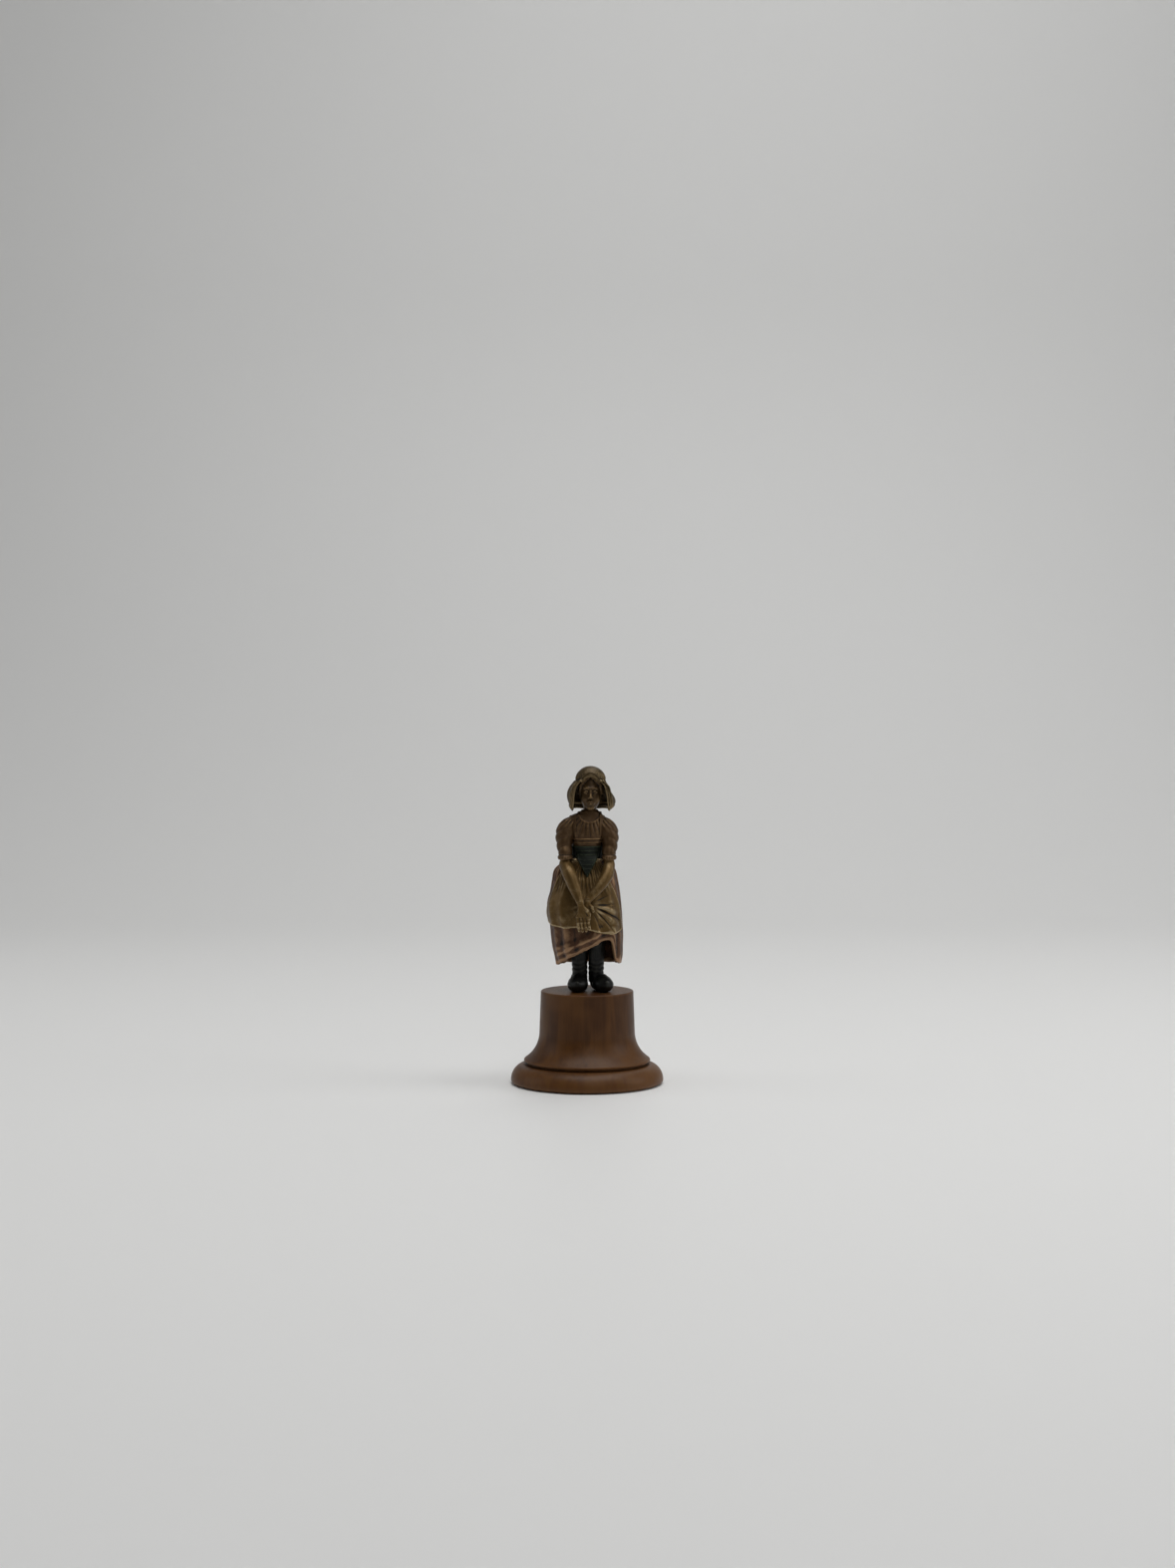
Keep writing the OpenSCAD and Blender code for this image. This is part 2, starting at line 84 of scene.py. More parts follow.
def curveAt(knots, t):
    # smooth curve through evenly spaced knots, for t from 0 to 1
    knots = np.asarray(knots, float)
    last = len(knots) - 1
    s = np.clip(np.asarray(t, float), 0, 1) * last
    i = np.minimum(s.astype(int), last - 1)
    return cubic([knots[np.clip(i + n, 0, last)] for n in (-1, 0, 1, 2)], s - i)


def loopAt(knots, t):
    # the same for a closed curve, where t = 1 is t = 0 again
    knots = np.asarray(knots, float)
    s = np.asarray(t, float) * len(knots)
    i = np.floor(s).astype(int)
    return cubic([knots[(i + n) % len(knots)] for n in (-1, 0, 1, 2)], s - i)


def cubic(p, u):
    a, b, c, d = p
    if a.ndim > np.ndim(u):
        u = np.asarray(u)[..., None]
    return b + 0.5 * u * (c - a + u * (2 * a - 5 * b + 4 * c - d + u * (3 * (b - c) + d - a)))


def toScene(points):
    # from the girl's drawn millimetres to the scene's metres
    points = np.asarray(points, float) * figureScale * mm
    return points + array(0, 0, soleZ * mm)


def meshPiece(name, points, faces, material):
    mesh = bpy.data.meshes.new(name)
    mesh.from_pydata([tuple(p) for p in points], [], [tuple(f) for f in faces])
    mesh.materials.append(material)
    mesh.shade_smooth()
    mesh.update()
    piece = bpy.data.objects.new(name, mesh)
    bpy.context.scene.collection.objects.link(piece)
    return piece


def settled(piece):
    # the piece with its modifiers applied, as a plain mesh
    evaluated = piece.evaluated_get(bpy.context.evaluated_depsgraph_get())
    mesh = bpy.data.meshes.new_from_object(evaluated)
    mesh.name = piece.name
    piece.modifiers.clear()
    piece.data = mesh
    return piece


def gridFaces(rows, columns, closed):
    across = columns if closed else columns - 1
    j, i = np.meshgrid(np.arange(rows - 1), np.arange(across), indexing="ij")
    k = (i + 1) % columns
    below, above = j * columns, (j + 1) * columns
    return np.stack([below + i, below + k, above + k, above + i], -1).reshape(-1, 4)


def sheetPiece(name, grid, thick, material, closed=True):
    # a thin wall behind a grid of points, whose rows run anticlockwise from below upwards
    rows, columns, _ = grid.shape
    piece = meshPiece(name, grid.reshape(-1, 3), gridFaces(rows, columns, closed), material)
    weld = piece.modifiers.new("weld", "WELD")    # a last row that meets in one point becomes it
    weld.merge_threshold = 1e-7
    wall = piece.modifiers.new("wall", "SOLIDIFY")
    wall.thickness = thick * mm
    wall.offset = -1
    wall.use_even_offset = False
    return settled(piece)


def neighbours(mesh):
    edges = np.zeros(len(mesh.edges) * 2, int)
    mesh.edges.foreach_get("vertices", edges)
    a, b = edges.reshape(-1, 2).T
    return np.concatenate([a, b]), np.concatenate([b, a])


def relaxed(points, ends, rounds, amount=0.5):
    start, end = ends
    count = np.maximum(np.bincount(start, minlength=len(points)), 1)
    for _ in range(rounds):
        mean = np.stack([np.bincount(start, points[end, k], len(points)) for k in range(3)], -1)
        points = mix(points, mean / count[:, None], amount)
    return points


def addRelief(piece, rounds=(6, 60), reach=(0.05, 0.35)):
    # how far each point stands above or below its surroundings, near and broad, for the patina and for the
    # painted highlight on the wooden base's edges
    mesh = piece.data
    points = np.zeros(len(mesh.vertices) * 3)
    mesh.vertices.foreach_get("co", points)
    points = points.reshape(-1, 3)
    normals = np.zeros(len(mesh.vertices) * 3, np.float32)
    mesh.vertex_normals.foreach_get("vector", normals)
    normals = normals.reshape(-1, 3)
    ends = neighbours(mesh)
    for label, count, far in zip(("fine", "broad"), rounds, reach):
        flat = relaxed(points, ends, count)
        height = ((points - flat) * normals).sum(1) / (far * mm)
        height = relaxed(np.repeat(height[:, None], 3, 1), ends, 2)[:, 0]
        layer = mesh.attributes.new(label, "FLOAT", "POINT")
        layer.data.foreach_set("value", np.clip(height, -1, 1).astype(np.float32))
    return piece


def finished(piece, slot, *nodes):
    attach(piece, "root")
    if nodes:
        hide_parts(*nodes)
    return piece


# A sculpted piece is a distance field sampled on a grid: its blends, cuts and folds are sums there,
# and skinField then lays a mesh of quads on its zero level.
class Clay:
    def __init__(self, low, high, cell):
        self.low = array(*low)
        self.cell = cell
        sides = [np.arange(a, b + cell, cell, dtype=np.float32) for a, b in zip(low, high)]
        self.x, self.y, self.z = np.meshgrid(*sides, indexing="ij", sparse=True)
        self.field = np.full([len(s) for s in sides], 9.0, np.float32)

    def ball(self, centre, radii):
        r = np.broadcast_to(np.asarray(radii, float), 3)
        p = [(g - c) for g, c in zip((self.x, self.y, self.z), centre)]
        near = np.sqrt(sum((q / s) ** 2 for q, s in zip(p, r)))
        slope = np.sqrt(sum((q / s ** 2) ** 2 for q, s in zip(p, r))) + 1e-6
        return near * (near - 1) / slope

    def rod(self, a, b, ra, rb):
        a, b = array(*a), array(*b)
        along = b - a
        p = [(g - c) for g, c in zip((self.x, self.y, self.z), a)]
        t = np.clip(sum(q * s for q, s in zip(p, along)) / (along @ along), 0, 1)
        return np.sqrt(sum((q - t * s) ** 2 for q, s in zip(p, along))) - mix(ra, rb, t)

    def limb(self, path, radii, blend=0.3):
        d = None
        for a, b, ra, rb in zip(path, path[1:], radii, radii[1:]):
            rod = self.rod(a, b, ra, rb)
            d = self.join(d, rod, blend) if blend else (rod if d is None else np.minimum(d, rod))
        return d

    def join(self, a, b, blend):
        if a is None:
            return b
        h = np.clip(0.5 + 0.5 * (b - a) / blend, 0, 1)
        return mix(b, a, h) - blend * h * (1 - h)

    def add(self, d, blend=0.3):
        self.field = self.join(self.field, d, blend).astype(np.float32)

    def cut(self, d, blend=0.2):
        self.field = -self.join(-self.field, d, blend).astype(np.float32)

    def lift(self, height):
        self.field = (self.field - height).astype(np.float32)

    def piece(self, name, material, rounds=2):
        points, faces = skinField(self.field, self.low, self.cell)
        made = meshPiece(name, points, faces, material)
        ends = neighbours(made.data)
        points = toScene(relaxed(points, ends, rounds))
        made.data.vertices.foreach_set("co", points.ravel())
        made.data.update()
        return made


def skinField(field, low, cell):
    field = field.copy()
    for axis in range(3):
        rim = np.moveaxis(field, axis, 0)         # what reaches the edge of its grid is capped there
        rim[[0, -1]] = np.maximum(rim[[0, -1]], cell / 2)
    n = field.shape
    inside = field < 0
    corners = [inside[i:n[0] - 1 + i, j:n[1] - 1 + j, k:n[2] - 1 + k]
               for i in (0, 1) for j in (0, 1) for k in (0, 1)]
    count = sum(c.astype(np.int8) for c in corners)
    crossed = (count > 0) & (count < 8)
    number = np.full(crossed.shape, -1)
    number[crossed] = np.arange(crossed.sum())
    cells = np.argwhere(crossed)
    total = np.zeros((len(cells), 3))
    hits = np.zeros(len(cells))
    for axis in range(3):
        for u in (0, 1):
            for v in (0, 1):
                near = cells.copy()
                near[:, (axis + 1) % 3] += u
                near[:, (axis + 2) % 3] += v
                far = near.copy()
                far[:, axis] += 1
                a, b = field[tuple(near.T)], field[tuple(far.T)]
                cuts = (a < 0) != (b < 0)
                place = near.astype(float)
                place[:, axis] += np.where(cuts, a / np.where(cuts, a - b, 1), 0)
                total += np.where(cuts[:, None], place, 0)
                hits += cuts
    quads = []
    for axis in range(3):
        u, v = (axis + 1) % 3, (axis + 2) % 3
        start, end = [slice(1, -1)] * 3, [slice(1, -1)] * 3
        start[axis], end[axis] = slice(0, -1), slice(1, None)
        first, second = inside[tuple(start)], inside[tuple(end)]
        edge = np.argwhere(first != second)
        outward = first[tuple(edge.T)]
        edge[:, u] += 1
        edge[:, v] += 1
        ring = []
        for du, dv in ((1, 1), (0, 1), (0, 0), (1, 0)):
            cell4 = edge.copy()
            cell4[:, u] -= du
            cell4[:, v] -= dv
            ring.append(number[tuple(cell4.T)])
        ring = np.stack(ring, -1)
        quads.append(np.where(outward[:, None], ring, ring[:, ::-1]))
    return low + cell * total / hits[:, None], np.concatenate(quads)


view = {
    "focal": 54.06,               # mm
    "sensor": 36,                 # mm along the picture's longer side
    "side": 0.00014,
    "away": 0.816,                # from the axis to the camera
    "height": 0.1336,
    "tilt": 2.078,                # degrees below level
}


def makeCamera():
    camera = bpy.data.objects.new("camera", bpy.data.cameras.new("camera"))
    camera.data.lens = view["focal"]
    camera.data.sensor_width = view["sensor"]
    camera.data.clip_start = 0.01
    camera.location = (view["side"], -view["away"], view["height"])
    camera.rotation_euler = (math.radians(90 - view["tilt"]), 0, 0)
    bpy.context.scene.collection.objects.link(camera)
    bpy.context.scene.camera = camera


studio = {
    "floor": (0.80, 0.80, 0.79),
    "floorRough": 0.55,
    "halfWidth": 3.0,
    "front": -2.0,
    "back": 0.55,                 # where the floor starts to curve up
    "bend": 0.45,
    "top": 2.2,
    "tent": 0.32,                 # light from all round, which fails towards the camera's side
    "tentFront": 0.25,
    "tentFade": (-0.95, 0.1),     # directions in Y between which it fails
    "lamps": [                    # name, place, aim, size, power
        ("overhead", (0.1, -0.1, 1.1), (0, 0, 0), 1.0, 9.4),
        ("leftBox", (-0.9, 0.05, 0.4), (0, 0, 0.06), 0.6, 1.0),
        ("rightBox", (0.9, -0.1, 0.5), (0, 0, 0.06), 0.6, 2.0),
        ("frontFill", (0.25, -1.3, 0.9), (0, 0, 0.06), 0.5, 1.2),
        ("wallTop", (0.35, 0.72, 1.35), (0.3, 1.0, 0.8), 0.4, 1.6),
    ],
}


def plainMaterial(name, colour, roughness):
    material = bpy.data.materials.new(name)
    material.use_nodes = True
    shader = material.node_tree.nodes["Principled BSDF"]
    shader.inputs["Base Color"].default_value = (*colour, 1)
    shader.inputs["Roughness"].default_value = roughness
    return material


def setRange(node, *ends):
    for label, value in zip(("From Min", "From Max", "To Min", "To Max"), ends):
        node.inputs[label].default_value = value


def makeStudio():
    bend, back = studio["bend"], studio["back"]
    turn = np.radians(np.linspace(0, 90, 25))
    profile = [(studio["front"], 0.0), (0.0, 0.0)]
    profile += [(back + bend * math.sin(q), bend * (1 - math.cos(q))) for q in turn]
    profile += [(back + bend, studio["top"])]
    points = [(x, y, z) for y, z in profile for x in (-studio["halfWidth"], studio["halfWidth"])]
    faces = [(2 * i, 2 * i + 1, 2 * i + 3, 2 * i + 2) for i in range(len(profile) - 1)]
    sweep = meshPiece("sweep", points, faces, plainMaterial("paper", studio["floor"], studio["floorRough"]))
    world = bpy.data.worlds.new("tent")
    world.use_nodes = True
    nodes, links = world.node_tree.nodes, world.node_tree.links
    direction = nodes.new("ShaderNodeTexCoord").outputs["Generated"]
    split = nodes.new("ShaderNodeSeparateXYZ")
    links.new(direction, split.inputs[0])
    fall = nodes.new("ShaderNodeMapRange")
    fall.interpolation_type = "SMOOTHSTEP"
    links.new(split.outputs["Y"], fall.inputs["Value"])
    setRange(fall, *studio["tentFade"], studio["tentFront"], 1.0)
    level = nodes.new("ShaderNodeMath")
    level.operation = "MULTIPLY"
    level.inputs[1].default_value = studio["tent"]
    links.new(fall.outputs["Result"], level.inputs[0])
    links.new(level.outputs[0], nodes["Background"].inputs["Strength"])
    bpy.context.scene.world = world
    for name, place, aim, size, power in studio["lamps"]:
        lamp = bpy.data.lights.new(name, "AREA")
        lamp.shape = "SQUARE"
        lamp.size = size
        lamp.energy = power
        holder = bpy.data.objects.new(name, lamp)
        holder.location = place
        holder.rotation_euler = (Vector(aim) - Vector(place)).to_track_quat("-Z", "Y").to_euler()
        bpy.context.scene.collection.objects.link(holder)
    bpy.context.scene.view_settings.view_transform = "Standard"


print("camera and studio")
makeCamera()
makeStudio()


class Recipe:
    # a node material, with short calls for the nodes that every finish here uses
    def __init__(self, name):
        self.material = bpy.data.materials.new(name)
        self.material.use_nodes = True
        self.nodes = self.material.node_tree.nodes
        self.links = self.material.node_tree.links
        self.shader = self.nodes["Principled BSDF"]
        self.place = self.nodes.new("ShaderNodeTexCoord").outputs["Object"]

    def put(self, socket, value):
        if isinstance(value, bpy.types.NodeSocket):
            self.links.new(value, socket)
        elif value is not None:
            socket.default_value = (*value, 1) if isinstance(value, tuple) and len(value) == 3 else value

    def stretched(self, scale):
        node = self.nodes.new("ShaderNodeMapping")
        self.put(node.inputs["Vector"], self.place)
        node.inputs["Scale"].default_value = scale
        return node.outputs["Vector"]

    def noise(self, size, detail=4.0, rough=0.55, vector=None, twist=0.0):
        # size is that of one lump, in millimetres
        node = self.nodes.new("ShaderNodeTexNoise")
        self.put(node.inputs["Vector"], vector or self.place)
        node.inputs["Scale"].default_value = 1 / (size * mm)
        node.inputs["Detail"].default_value = detail
        node.inputs["Roughness"].default_value = rough
        node.inputs["Distortion"].default_value = twist
        return node.outputs["Fac"]

    def attribute(self, name):
        node = self.nodes.new("ShaderNodeAttribute")
        node.attribute_name = name
        return node.outputs["Fac"]

    def sum(self, a, b, operation="ADD"):
        node = self.nodes.new("ShaderNodeMath")
        node.operation = operation
        self.put(node.inputs[0], a)
        self.put(node.inputs[1], b)
        return node.outputs[0]

    def ranged(self, value, low, high, start=0.0, end=1.0):
        node = self.nodes.new("ShaderNodeMapRange")
        node.interpolation_type = "SMOOTHSTEP"
        self.put(node.inputs["Value"], value)
        setRange(node, low, high, start, end)
        return node.outputs["Result"]

    def blend(self, share, a, b):
        node = self.nodes.new("ShaderNodeMix")
        node.data_type = "RGBA"
        self.put(node.inputs["Factor"], share)
        self.put(node.inputs[6], a)
        self.put(node.inputs[7], b)
        return node.outputs[2]

    def bump(self, height, depth, strength=1.0, under=None):
        # depth in millimetres
        node = self.nodes.new("ShaderNodeBump")
        node.inputs["Strength"].default_value = strength
        node.inputs["Distance"].default_value = depth * mm
        self.put(node.inputs["Height"], height)
        self.put(node.inputs["Normal"], under)
        return node.outputs["Normal"]

    def shade(self, **sockets):
        for name, value in sockets.items():
            self.put(self.shader.inputs[name.replace("_", " ")], value)
        return self.material


# Patinated bronze: dark in the hollows, brown over the surface, and rubbed towards metal on the crests.
def bronze(name, hollow, body, rubbed, metal=0.55, rough=0.44, wear=1.0):
    r = Recipe(name)
    mottle = r.noise(2.6, 5, 0.6, twist=0.4)
    cloud = r.noise(9, 3)
    grain = r.noise(0.22, 3, 0.6)
    height = r.sum(r.sum(r.attribute("fine"), 0.6, "MULTIPLY"), r.sum(r.attribute("broad"), 0.7, "MULTIPLY"))
    uneven = r.sum(height, r.ranged(mottle, 0.3, 0.7, -0.18, 0.18))
    crest = r.ranged(uneven, 0.12, 0.75 / wear)
    pool = r.ranged(uneven, -0.05, -0.6)
    colour = r.blend(r.ranged(cloud, 0.35, 0.65, 0.0, 0.5), body, tuple(c * 0.72 for c in body))
    colour = r.blend(r.ranged(mottle, 0.45, 0.75, 0.0, 0.16), colour, rubbed)
    colour = r.blend(crest, colour, rubbed)
    colour = r.blend(pool, colour, hollow)
    rougher = r.sum(r.ranged(grain, 0.3, 0.7, rough - 0.06, rough + 0.08), r.sum(pool, 0.22, "MULTIPLY"))
    shine = r.ranged(r.sum(crest, r.sum(pool, -1.0, "MULTIPLY")), -1.0, 1.0, metal - 0.3, metal + 0.3)
    casting = r.bump(r.noise(0.7, 4, 0.6), 0.035, 0.5)
    skin = r.bump(grain, 0.012, 0.5, casting)
    return r.shade(Base_Color=colour, Roughness=rougher, Metallic=shine, Normal=skin,
                   Coat_Weight=0.06, Coat_Roughness=0.3, Specular_IOR_Level=0.35)


finishes = {
    "brown": bronze("bronzeBrown", (0.010, 0.005, 0.002), (0.085, 0.045, 0.017), (0.22, 0.135, 0.065)),
    "skirt": bronze("bronzeRedBrown", (0.011, 0.005, 0.002), (0.092, 0.042, 0.020), (0.30, 0.18, 0.10)),
    "face": bronze("bronzeHandled", (0.012, 0.006, 0.002), (0.075, 0.042, 0.015), (0.20, 0.13, 0.06),
                   metal=0.5, rough=0.4, wear=1.3),
    "olive": bronze("bronzeOlive", (0.013, 0.008, 0.002), (0.130, 0.074, 0.020), (0.36, 0.27, 0.15)),
    "green": bronze("bronzeGreen", (0.001, 0.002, 0.001), (0.003, 0.006, 0.002), (0.034, 0.043, 0.022),
                    metal=0.2, rough=0.58),
    "black": bronze("bronzeBlack", (0.001, 0.001, 0.001), (0.004, 0.004, 0.003), (0.034, 0.034, 0.027),
                    metal=0.3, rough=0.42),
    "bonnet": bronze("bronzeBonnet", (0.012, 0.008, 0.003), (0.072, 0.046, 0.016), (0.20, 0.145, 0.075)),
}


def turnedWood(name, body, dark, light):
    r = Recipe(name)
    along = r.stretched((1, 1, 0.08))
    fibre = r.noise(0.55, 5, 0.65, along, 0.3)
    figure = r.noise(4.5, 3, 0.5, along, 0.8)
    cloud = r.noise(16, 2)
    colour = r.blend(r.ranged(figure, 0.38, 0.66), body, dark)
    colour = r.blend(r.ranged(fibre, 0.52, 0.72, 0.0, 0.55), colour, dark)
    colour = r.blend(r.ranged(cloud, 0.42, 0.68, 0.0, 0.6), colour, light)
    # painted highlight: where the fine relief stands out on the turned edges, the wood is painted brighter
    # than its lightest tone, standing in for the bright line of light along the rims
    edge = r.ranged(r.attribute("fine"), 0.25, 0.9, 0.0, 0.5)
    colour = r.blend(edge, colour, tuple(c * 1.5 for c in light))
    lines = r.noise(0.5, 2, 0.5, r.stretched((0.02, 0.02, 1)))
    turned = r.bump(lines, 0.010, 0.5)
    pores = r.bump(r.ranged(fibre, 0.58, 0.72), 0.012, 0.45, turned)
    return r.shade(Base_Color=colour, Roughness=r.ranged(fibre, 0.3, 0.7, 0.40, 0.52), Normal=pores,
                   Coat_Weight=0.05, Coat_Roughness=0.3, Specular_IOR_Level=0.22)


finishes["wood"] = turnedWood("stainedWood", (0.088, 0.034, 0.007), (0.054, 0.019, 0.004),
                              (0.118, 0.050, 0.014))


def felt(name, body, light):
    r = Recipe(name)
    fibres = r.noise(0.25, 6, 0.7, twist=1.5)
    tufts = r.noise(1.1, 3, 0.6)
    colour = r.blend(r.ranged(fibres, 0.35, 0.7), body, light)
    bump = r.bump(fibres, 0.12, 0.8, r.bump(tufts, 0.15, 0.4))
    return r.shade(Base_Color=colour, Roughness=r.ranged(tufts, 0.3, 0.7, 0.9, 1.0), Normal=bump,
                   Sheen_Weight=0.5, Sheen_Roughness=0.5, Specular_IOR_Level=0.2)


def machined(name, body, dull, rough):
    # bright metal with turning lines and some tarnish
    r = Recipe(name)
    lines = r.noise(0.12, 2, 0.5, r.stretched((0.1, 0.1, 1)))
    tarnish = r.noise(1.4, 5, 0.6, twist=0.6)
    colour = r.blend(r.ranged(tarnish, 0.45, 0.75), body, dull)
    roughness = r.sum(r.ranged(lines, 0.3, 0.7, rough - 0.06, rough + 0.08),
                      r.ranged(tarnish, 0.45, 0.75, 0.0, 0.15))
    return r.shade(Base_Color=colour, Roughness=roughness, Metallic=1.0, Normal=r.bump(lines, 0.01, 0.5))


finishes["felt"] = felt("felt", (0.010, 0.028, 0.015), (0.022, 0.055, 0.030))
finishes["steel"] = machined("steel", (0.55, 0.55, 0.53), (0.30, 0.28, 0.25), 0.32)
finishes["brass"] = machined("brass", (0.62, 0.42, 0.16), (0.30, 0.19, 0.08), 0.3)
hiddenNodes = {
    "foot_studs": "brass", "stud_nuts": "brass", "stud_washers": "steel", "waist_screw": "steel",
    "shoulder_pins": "steel", "neck_pin": "steel", "leg_bridge": "brown",
}


def arc(centre, radius, start, end, steps):
    turn = np.radians(np.linspace(start, end, steps + 1))
    return [(centre[0] + radius * math.cos(q), centre[1] + radius * math.sin(q)) for q in turn]


class Grown:
    # a piece that a node tree grows from a line of points, with the tree's inputs on its modifier
    def __init__(self, name, points, edges, **inputs):
        line = bpy.data.meshes.new(name)
        line.from_pydata(points, edges, [])
        self.piece = bpy.data.objects.new(name, line)
        bpy.context.scene.collection.objects.link(self.piece)
        self.tree = bpy.data.node_groups.new(name + "Tree", "GeometryNodeTree")
        self.socket("Line", "INPUT", "Geometry")
        self.labels = {label: self.socket(label, "INPUT", kind) for label, kind in inputs.items()}
        self.socket("Geometry", "OUTPUT", "Geometry")
        self.given = self.tree.nodes.new("NodeGroupInput").outputs

    def socket(self, label, way, kind):
        face = self.tree.interface
        return face.new_socket(label, in_out=way, socket_type="NodeSocket" + kind).identifier

    def node(self, kind, sources=None, **options):
        # sources are what feeds each input: another node's output, or a plain value
        made = self.tree.nodes.new(kind)
        for option, value in options.items():
            setattr(made, option, value)
        for socket, source in (sources or {}).items():
            if isinstance(source, bpy.types.NodeSocket):
                self.tree.links.new(source, made.inputs[socket])
            else:
                made.inputs[socket].default_value = source
        return made.outputs

    def math(self, kind, operation, a, b):
        return self.node(kind, {0: a, 1: b}, operation=operation)[0]

    def settle(self, geometry, **values):
        real = self.node("GeometryNodeRealizeInstances", {0: geometry})[0]
        paint = self.node("GeometryNodeSetMaterial", {"Geometry": real, "Material": self.given["Finish"]})
        self.tree.links.new(paint[0], self.tree.nodes.new("NodeGroupOutput").inputs[0])
        modifier = self.piece.modifiers.new("grown", "NODES")
        modifier.node_group = self.tree
        for label, value in values.items():
            modifier[self.labels[label]] = value
        settled(self.piece)
        self.piece.data.shade_smooth()
        return self.piece


lathe = {
    "sides": 192,
    "drum": 16.1,                 # radius of the plinth's straight part
    "edge": 0.45,                 # rounding of the plinth's top edge
    "fillet": 0.5,                # step from the drum to its flare
    "plinthLip": (4.6, 7.5, 8.66),  # inside the foot's radius, underside, top
    "lipStep": 0.3,               # from the flare's foot to the lip
    "flareTop": 14.2,             # below the plinth's top
    "roundWidth": 5.0,            # of the foot's quarter-round
    "belly": 1.3,                 # height of its widest line
    "recess": (2.5, 1.0),         # of its underside: in from its edge, and up
    "weld": 1e-6,                 # m
}


def revolve(name, profile, material):
    # spins a profile of (radius, height) points in millimetres round Z with a node tree
    edges = [(i, i + 1) for i in range(len(profile) - 1)]
    turned = Grown(name, [(r * mm, 0, z * mm) for r, z in profile], edges, Sides="Int", Finish="Material")
    node, given, whole = turned.node, turned.given, "FunctionNodeIntegerMath"
    # a grid of sides by profile points, each placed at its turn and its point's radius and height
    size = node("GeometryNodeAttributeDomainSize", {"Geometry": given["Line"]}, component="MESH")
    rows = size["Point Count"]
    around = turned.math(whole, "ADD", given["Sides"], 1)
    grid = node("GeometryNodeMeshGrid", {"Vertices X": around, "Vertices Y": rows})["Mesh"]
    index = node("GeometryNodeInputIndex")[0]
    turnNumber = turned.math(whole, "DIVIDE", index, rows)
    row = turned.math(whole, "MODULO", index, rows)
    where = node("GeometryNodeInputPosition")[0]
    sample = node("GeometryNodeSampleIndex", {"Geometry": given["Line"], "Value": where, "Index": row},
                  data_type="FLOAT_VECTOR")["Value"]
    step = turned.math("ShaderNodeMath", "DIVIDE", 2 * math.pi, given["Sides"])
    angle = turned.math("ShaderNodeMath", "MULTIPLY", turnNumber, step)
    spin = node("ShaderNodeVectorRotate", {"Vector": sample, "Angle": angle}, rotation_type="Z_AXIS")[0]
    place = node("GeometryNodeSetPosition", {"Geometry": grid, "Position": spin})[0]
    weld = node("GeometryNodeMergeByDistance", {"Geometry": place, "Distance": lathe["weld"]})[0]
    return turned.settle(weld, Sides=lathe["sides"], Finish=material)


def profilePoints(points, step=0.3):
    # closes up long straight runs of a profile, so that the piece shades and wears evenly
    out = [points[0]]
    for a, b in zip(points, points[1:]):
        n = max(1, int(math.hypot(b[0] - a[0], b[1] - a[1]) / step))
        out += [tuple(mix(array(*a), array(*b), (k + 1) / n)) for k in range(n)]
    return out


def makeBase():
    low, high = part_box("plinth")
    top, drumR, edge = high[2] / mm, lathe["drum"], lathe["edge"]
    inset, lipLow, lipTop = lathe["plinthLip"]
    footLow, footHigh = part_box("foot")
    footR, footTop = footHigh[0] / mm, footHigh[2] / mm
    lipR, neckR = footR - inset, drumR + lathe["fillet"]
    flareTop = top - lathe["flareTop"]
    drop, flare = flareTop - lipTop, lipR - lathe["lipStep"] - neckR
    flareR = (flare ** 2 + drop ** 2) / (2 * flare)
    lipHalf = (lipTop - lipLow) / 2
    sweep = math.degrees(math.asin(drop / flareR))
    profile = [(0, low[2] / mm), (lipR - 1, low[2] / mm), (lipR - 1, lipLow - 0.02)]
    profile += arc((lipR - 0.5, lipLow + lipHalf), lipHalf - 0.02, -90, 62, 12)
    profile += arc((neckR + flareR, flareTop), flareR, 180 + sweep, 180, 30)
    profile += arc((drumR - edge, top - edge), edge, 0, 90, 8)
    profile += [(0, top)]
    plinth = revolve("plinthTurned", profilePoints(profile), finishes["wood"])
    finished(addRelief(plinth), "base_wood", "plinth")
    width, belly = lathe["roundWidth"], lathe["belly"]
    inward, upward = lathe["recess"]
    bottom = footLow[2] / mm
    quarter = [(footR - width + width * math.cos(q), belly + (footTop - belly) * math.sin(q))
               for q in np.radians(np.linspace(3, 90, 30))]
    profile = [(0, upward), (footR - inward, upward), (footR - inward, bottom), (footR - 1, bottom)]
    profile += arc((footR - 1, belly), 1, -90, 0, 10) + quarter + [(0, footTop)]
    foot = revolve("footTurned", profilePoints(profile), finishes["wood"])
    finished(addRelief(foot), "base_wood", "foot")


feltPad = {"edge": 0.3}


def makeFelt():
    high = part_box("felt_pad")[1]
    r, top, edge = high[0] / mm, high[2] / mm, feltPad["edge"]
    profile = [(0, 0.0)] + arc((r - edge, edge), edge, -90, 0, 5)
    profile += arc((r - edge, top - edge), edge, 0, 90, 5)
    pad = revolve("feltDisc", profilePoints(profile + [(0, top)]), finishes["felt"])
    finished(pad, "felt", "felt_pad")


slots = {"skirt": "bronze_brown", "face": "bronze_brown", "bonnet": "bronze_olive"}


def bronzePiece(piece, finish, node, *others):
    return finished(addRelief(piece), slots.get(finish, "bronze_" + finish), node, *others)


def sectionsAt(table, z):
    # every column after the first of a stack of sections, at the heights z
    rows = curveAt(table, np.linspace(0, 1, 300))
    rows = rows[np.argsort(rows[:, 0])]
    return [np.interp(z, rows[:, 0], rows[:, k]) for k in range(1, rows.shape[1])]


def ovalDistance(dx, dy, half, depth):
    near = np.sqrt((dx / half) ** 2 + (dy / depth) ** 2)
    slope = np.sqrt((dx / half ** 2) ** 2 + (dy / depth ** 2) ** 2) + 1e-6
    return near * (near - 1) / slope


cord = {"sides": 14, "step": 0.18, "uneven": 0.25, "lump": 1.1}     # unless its own settings say otherwise


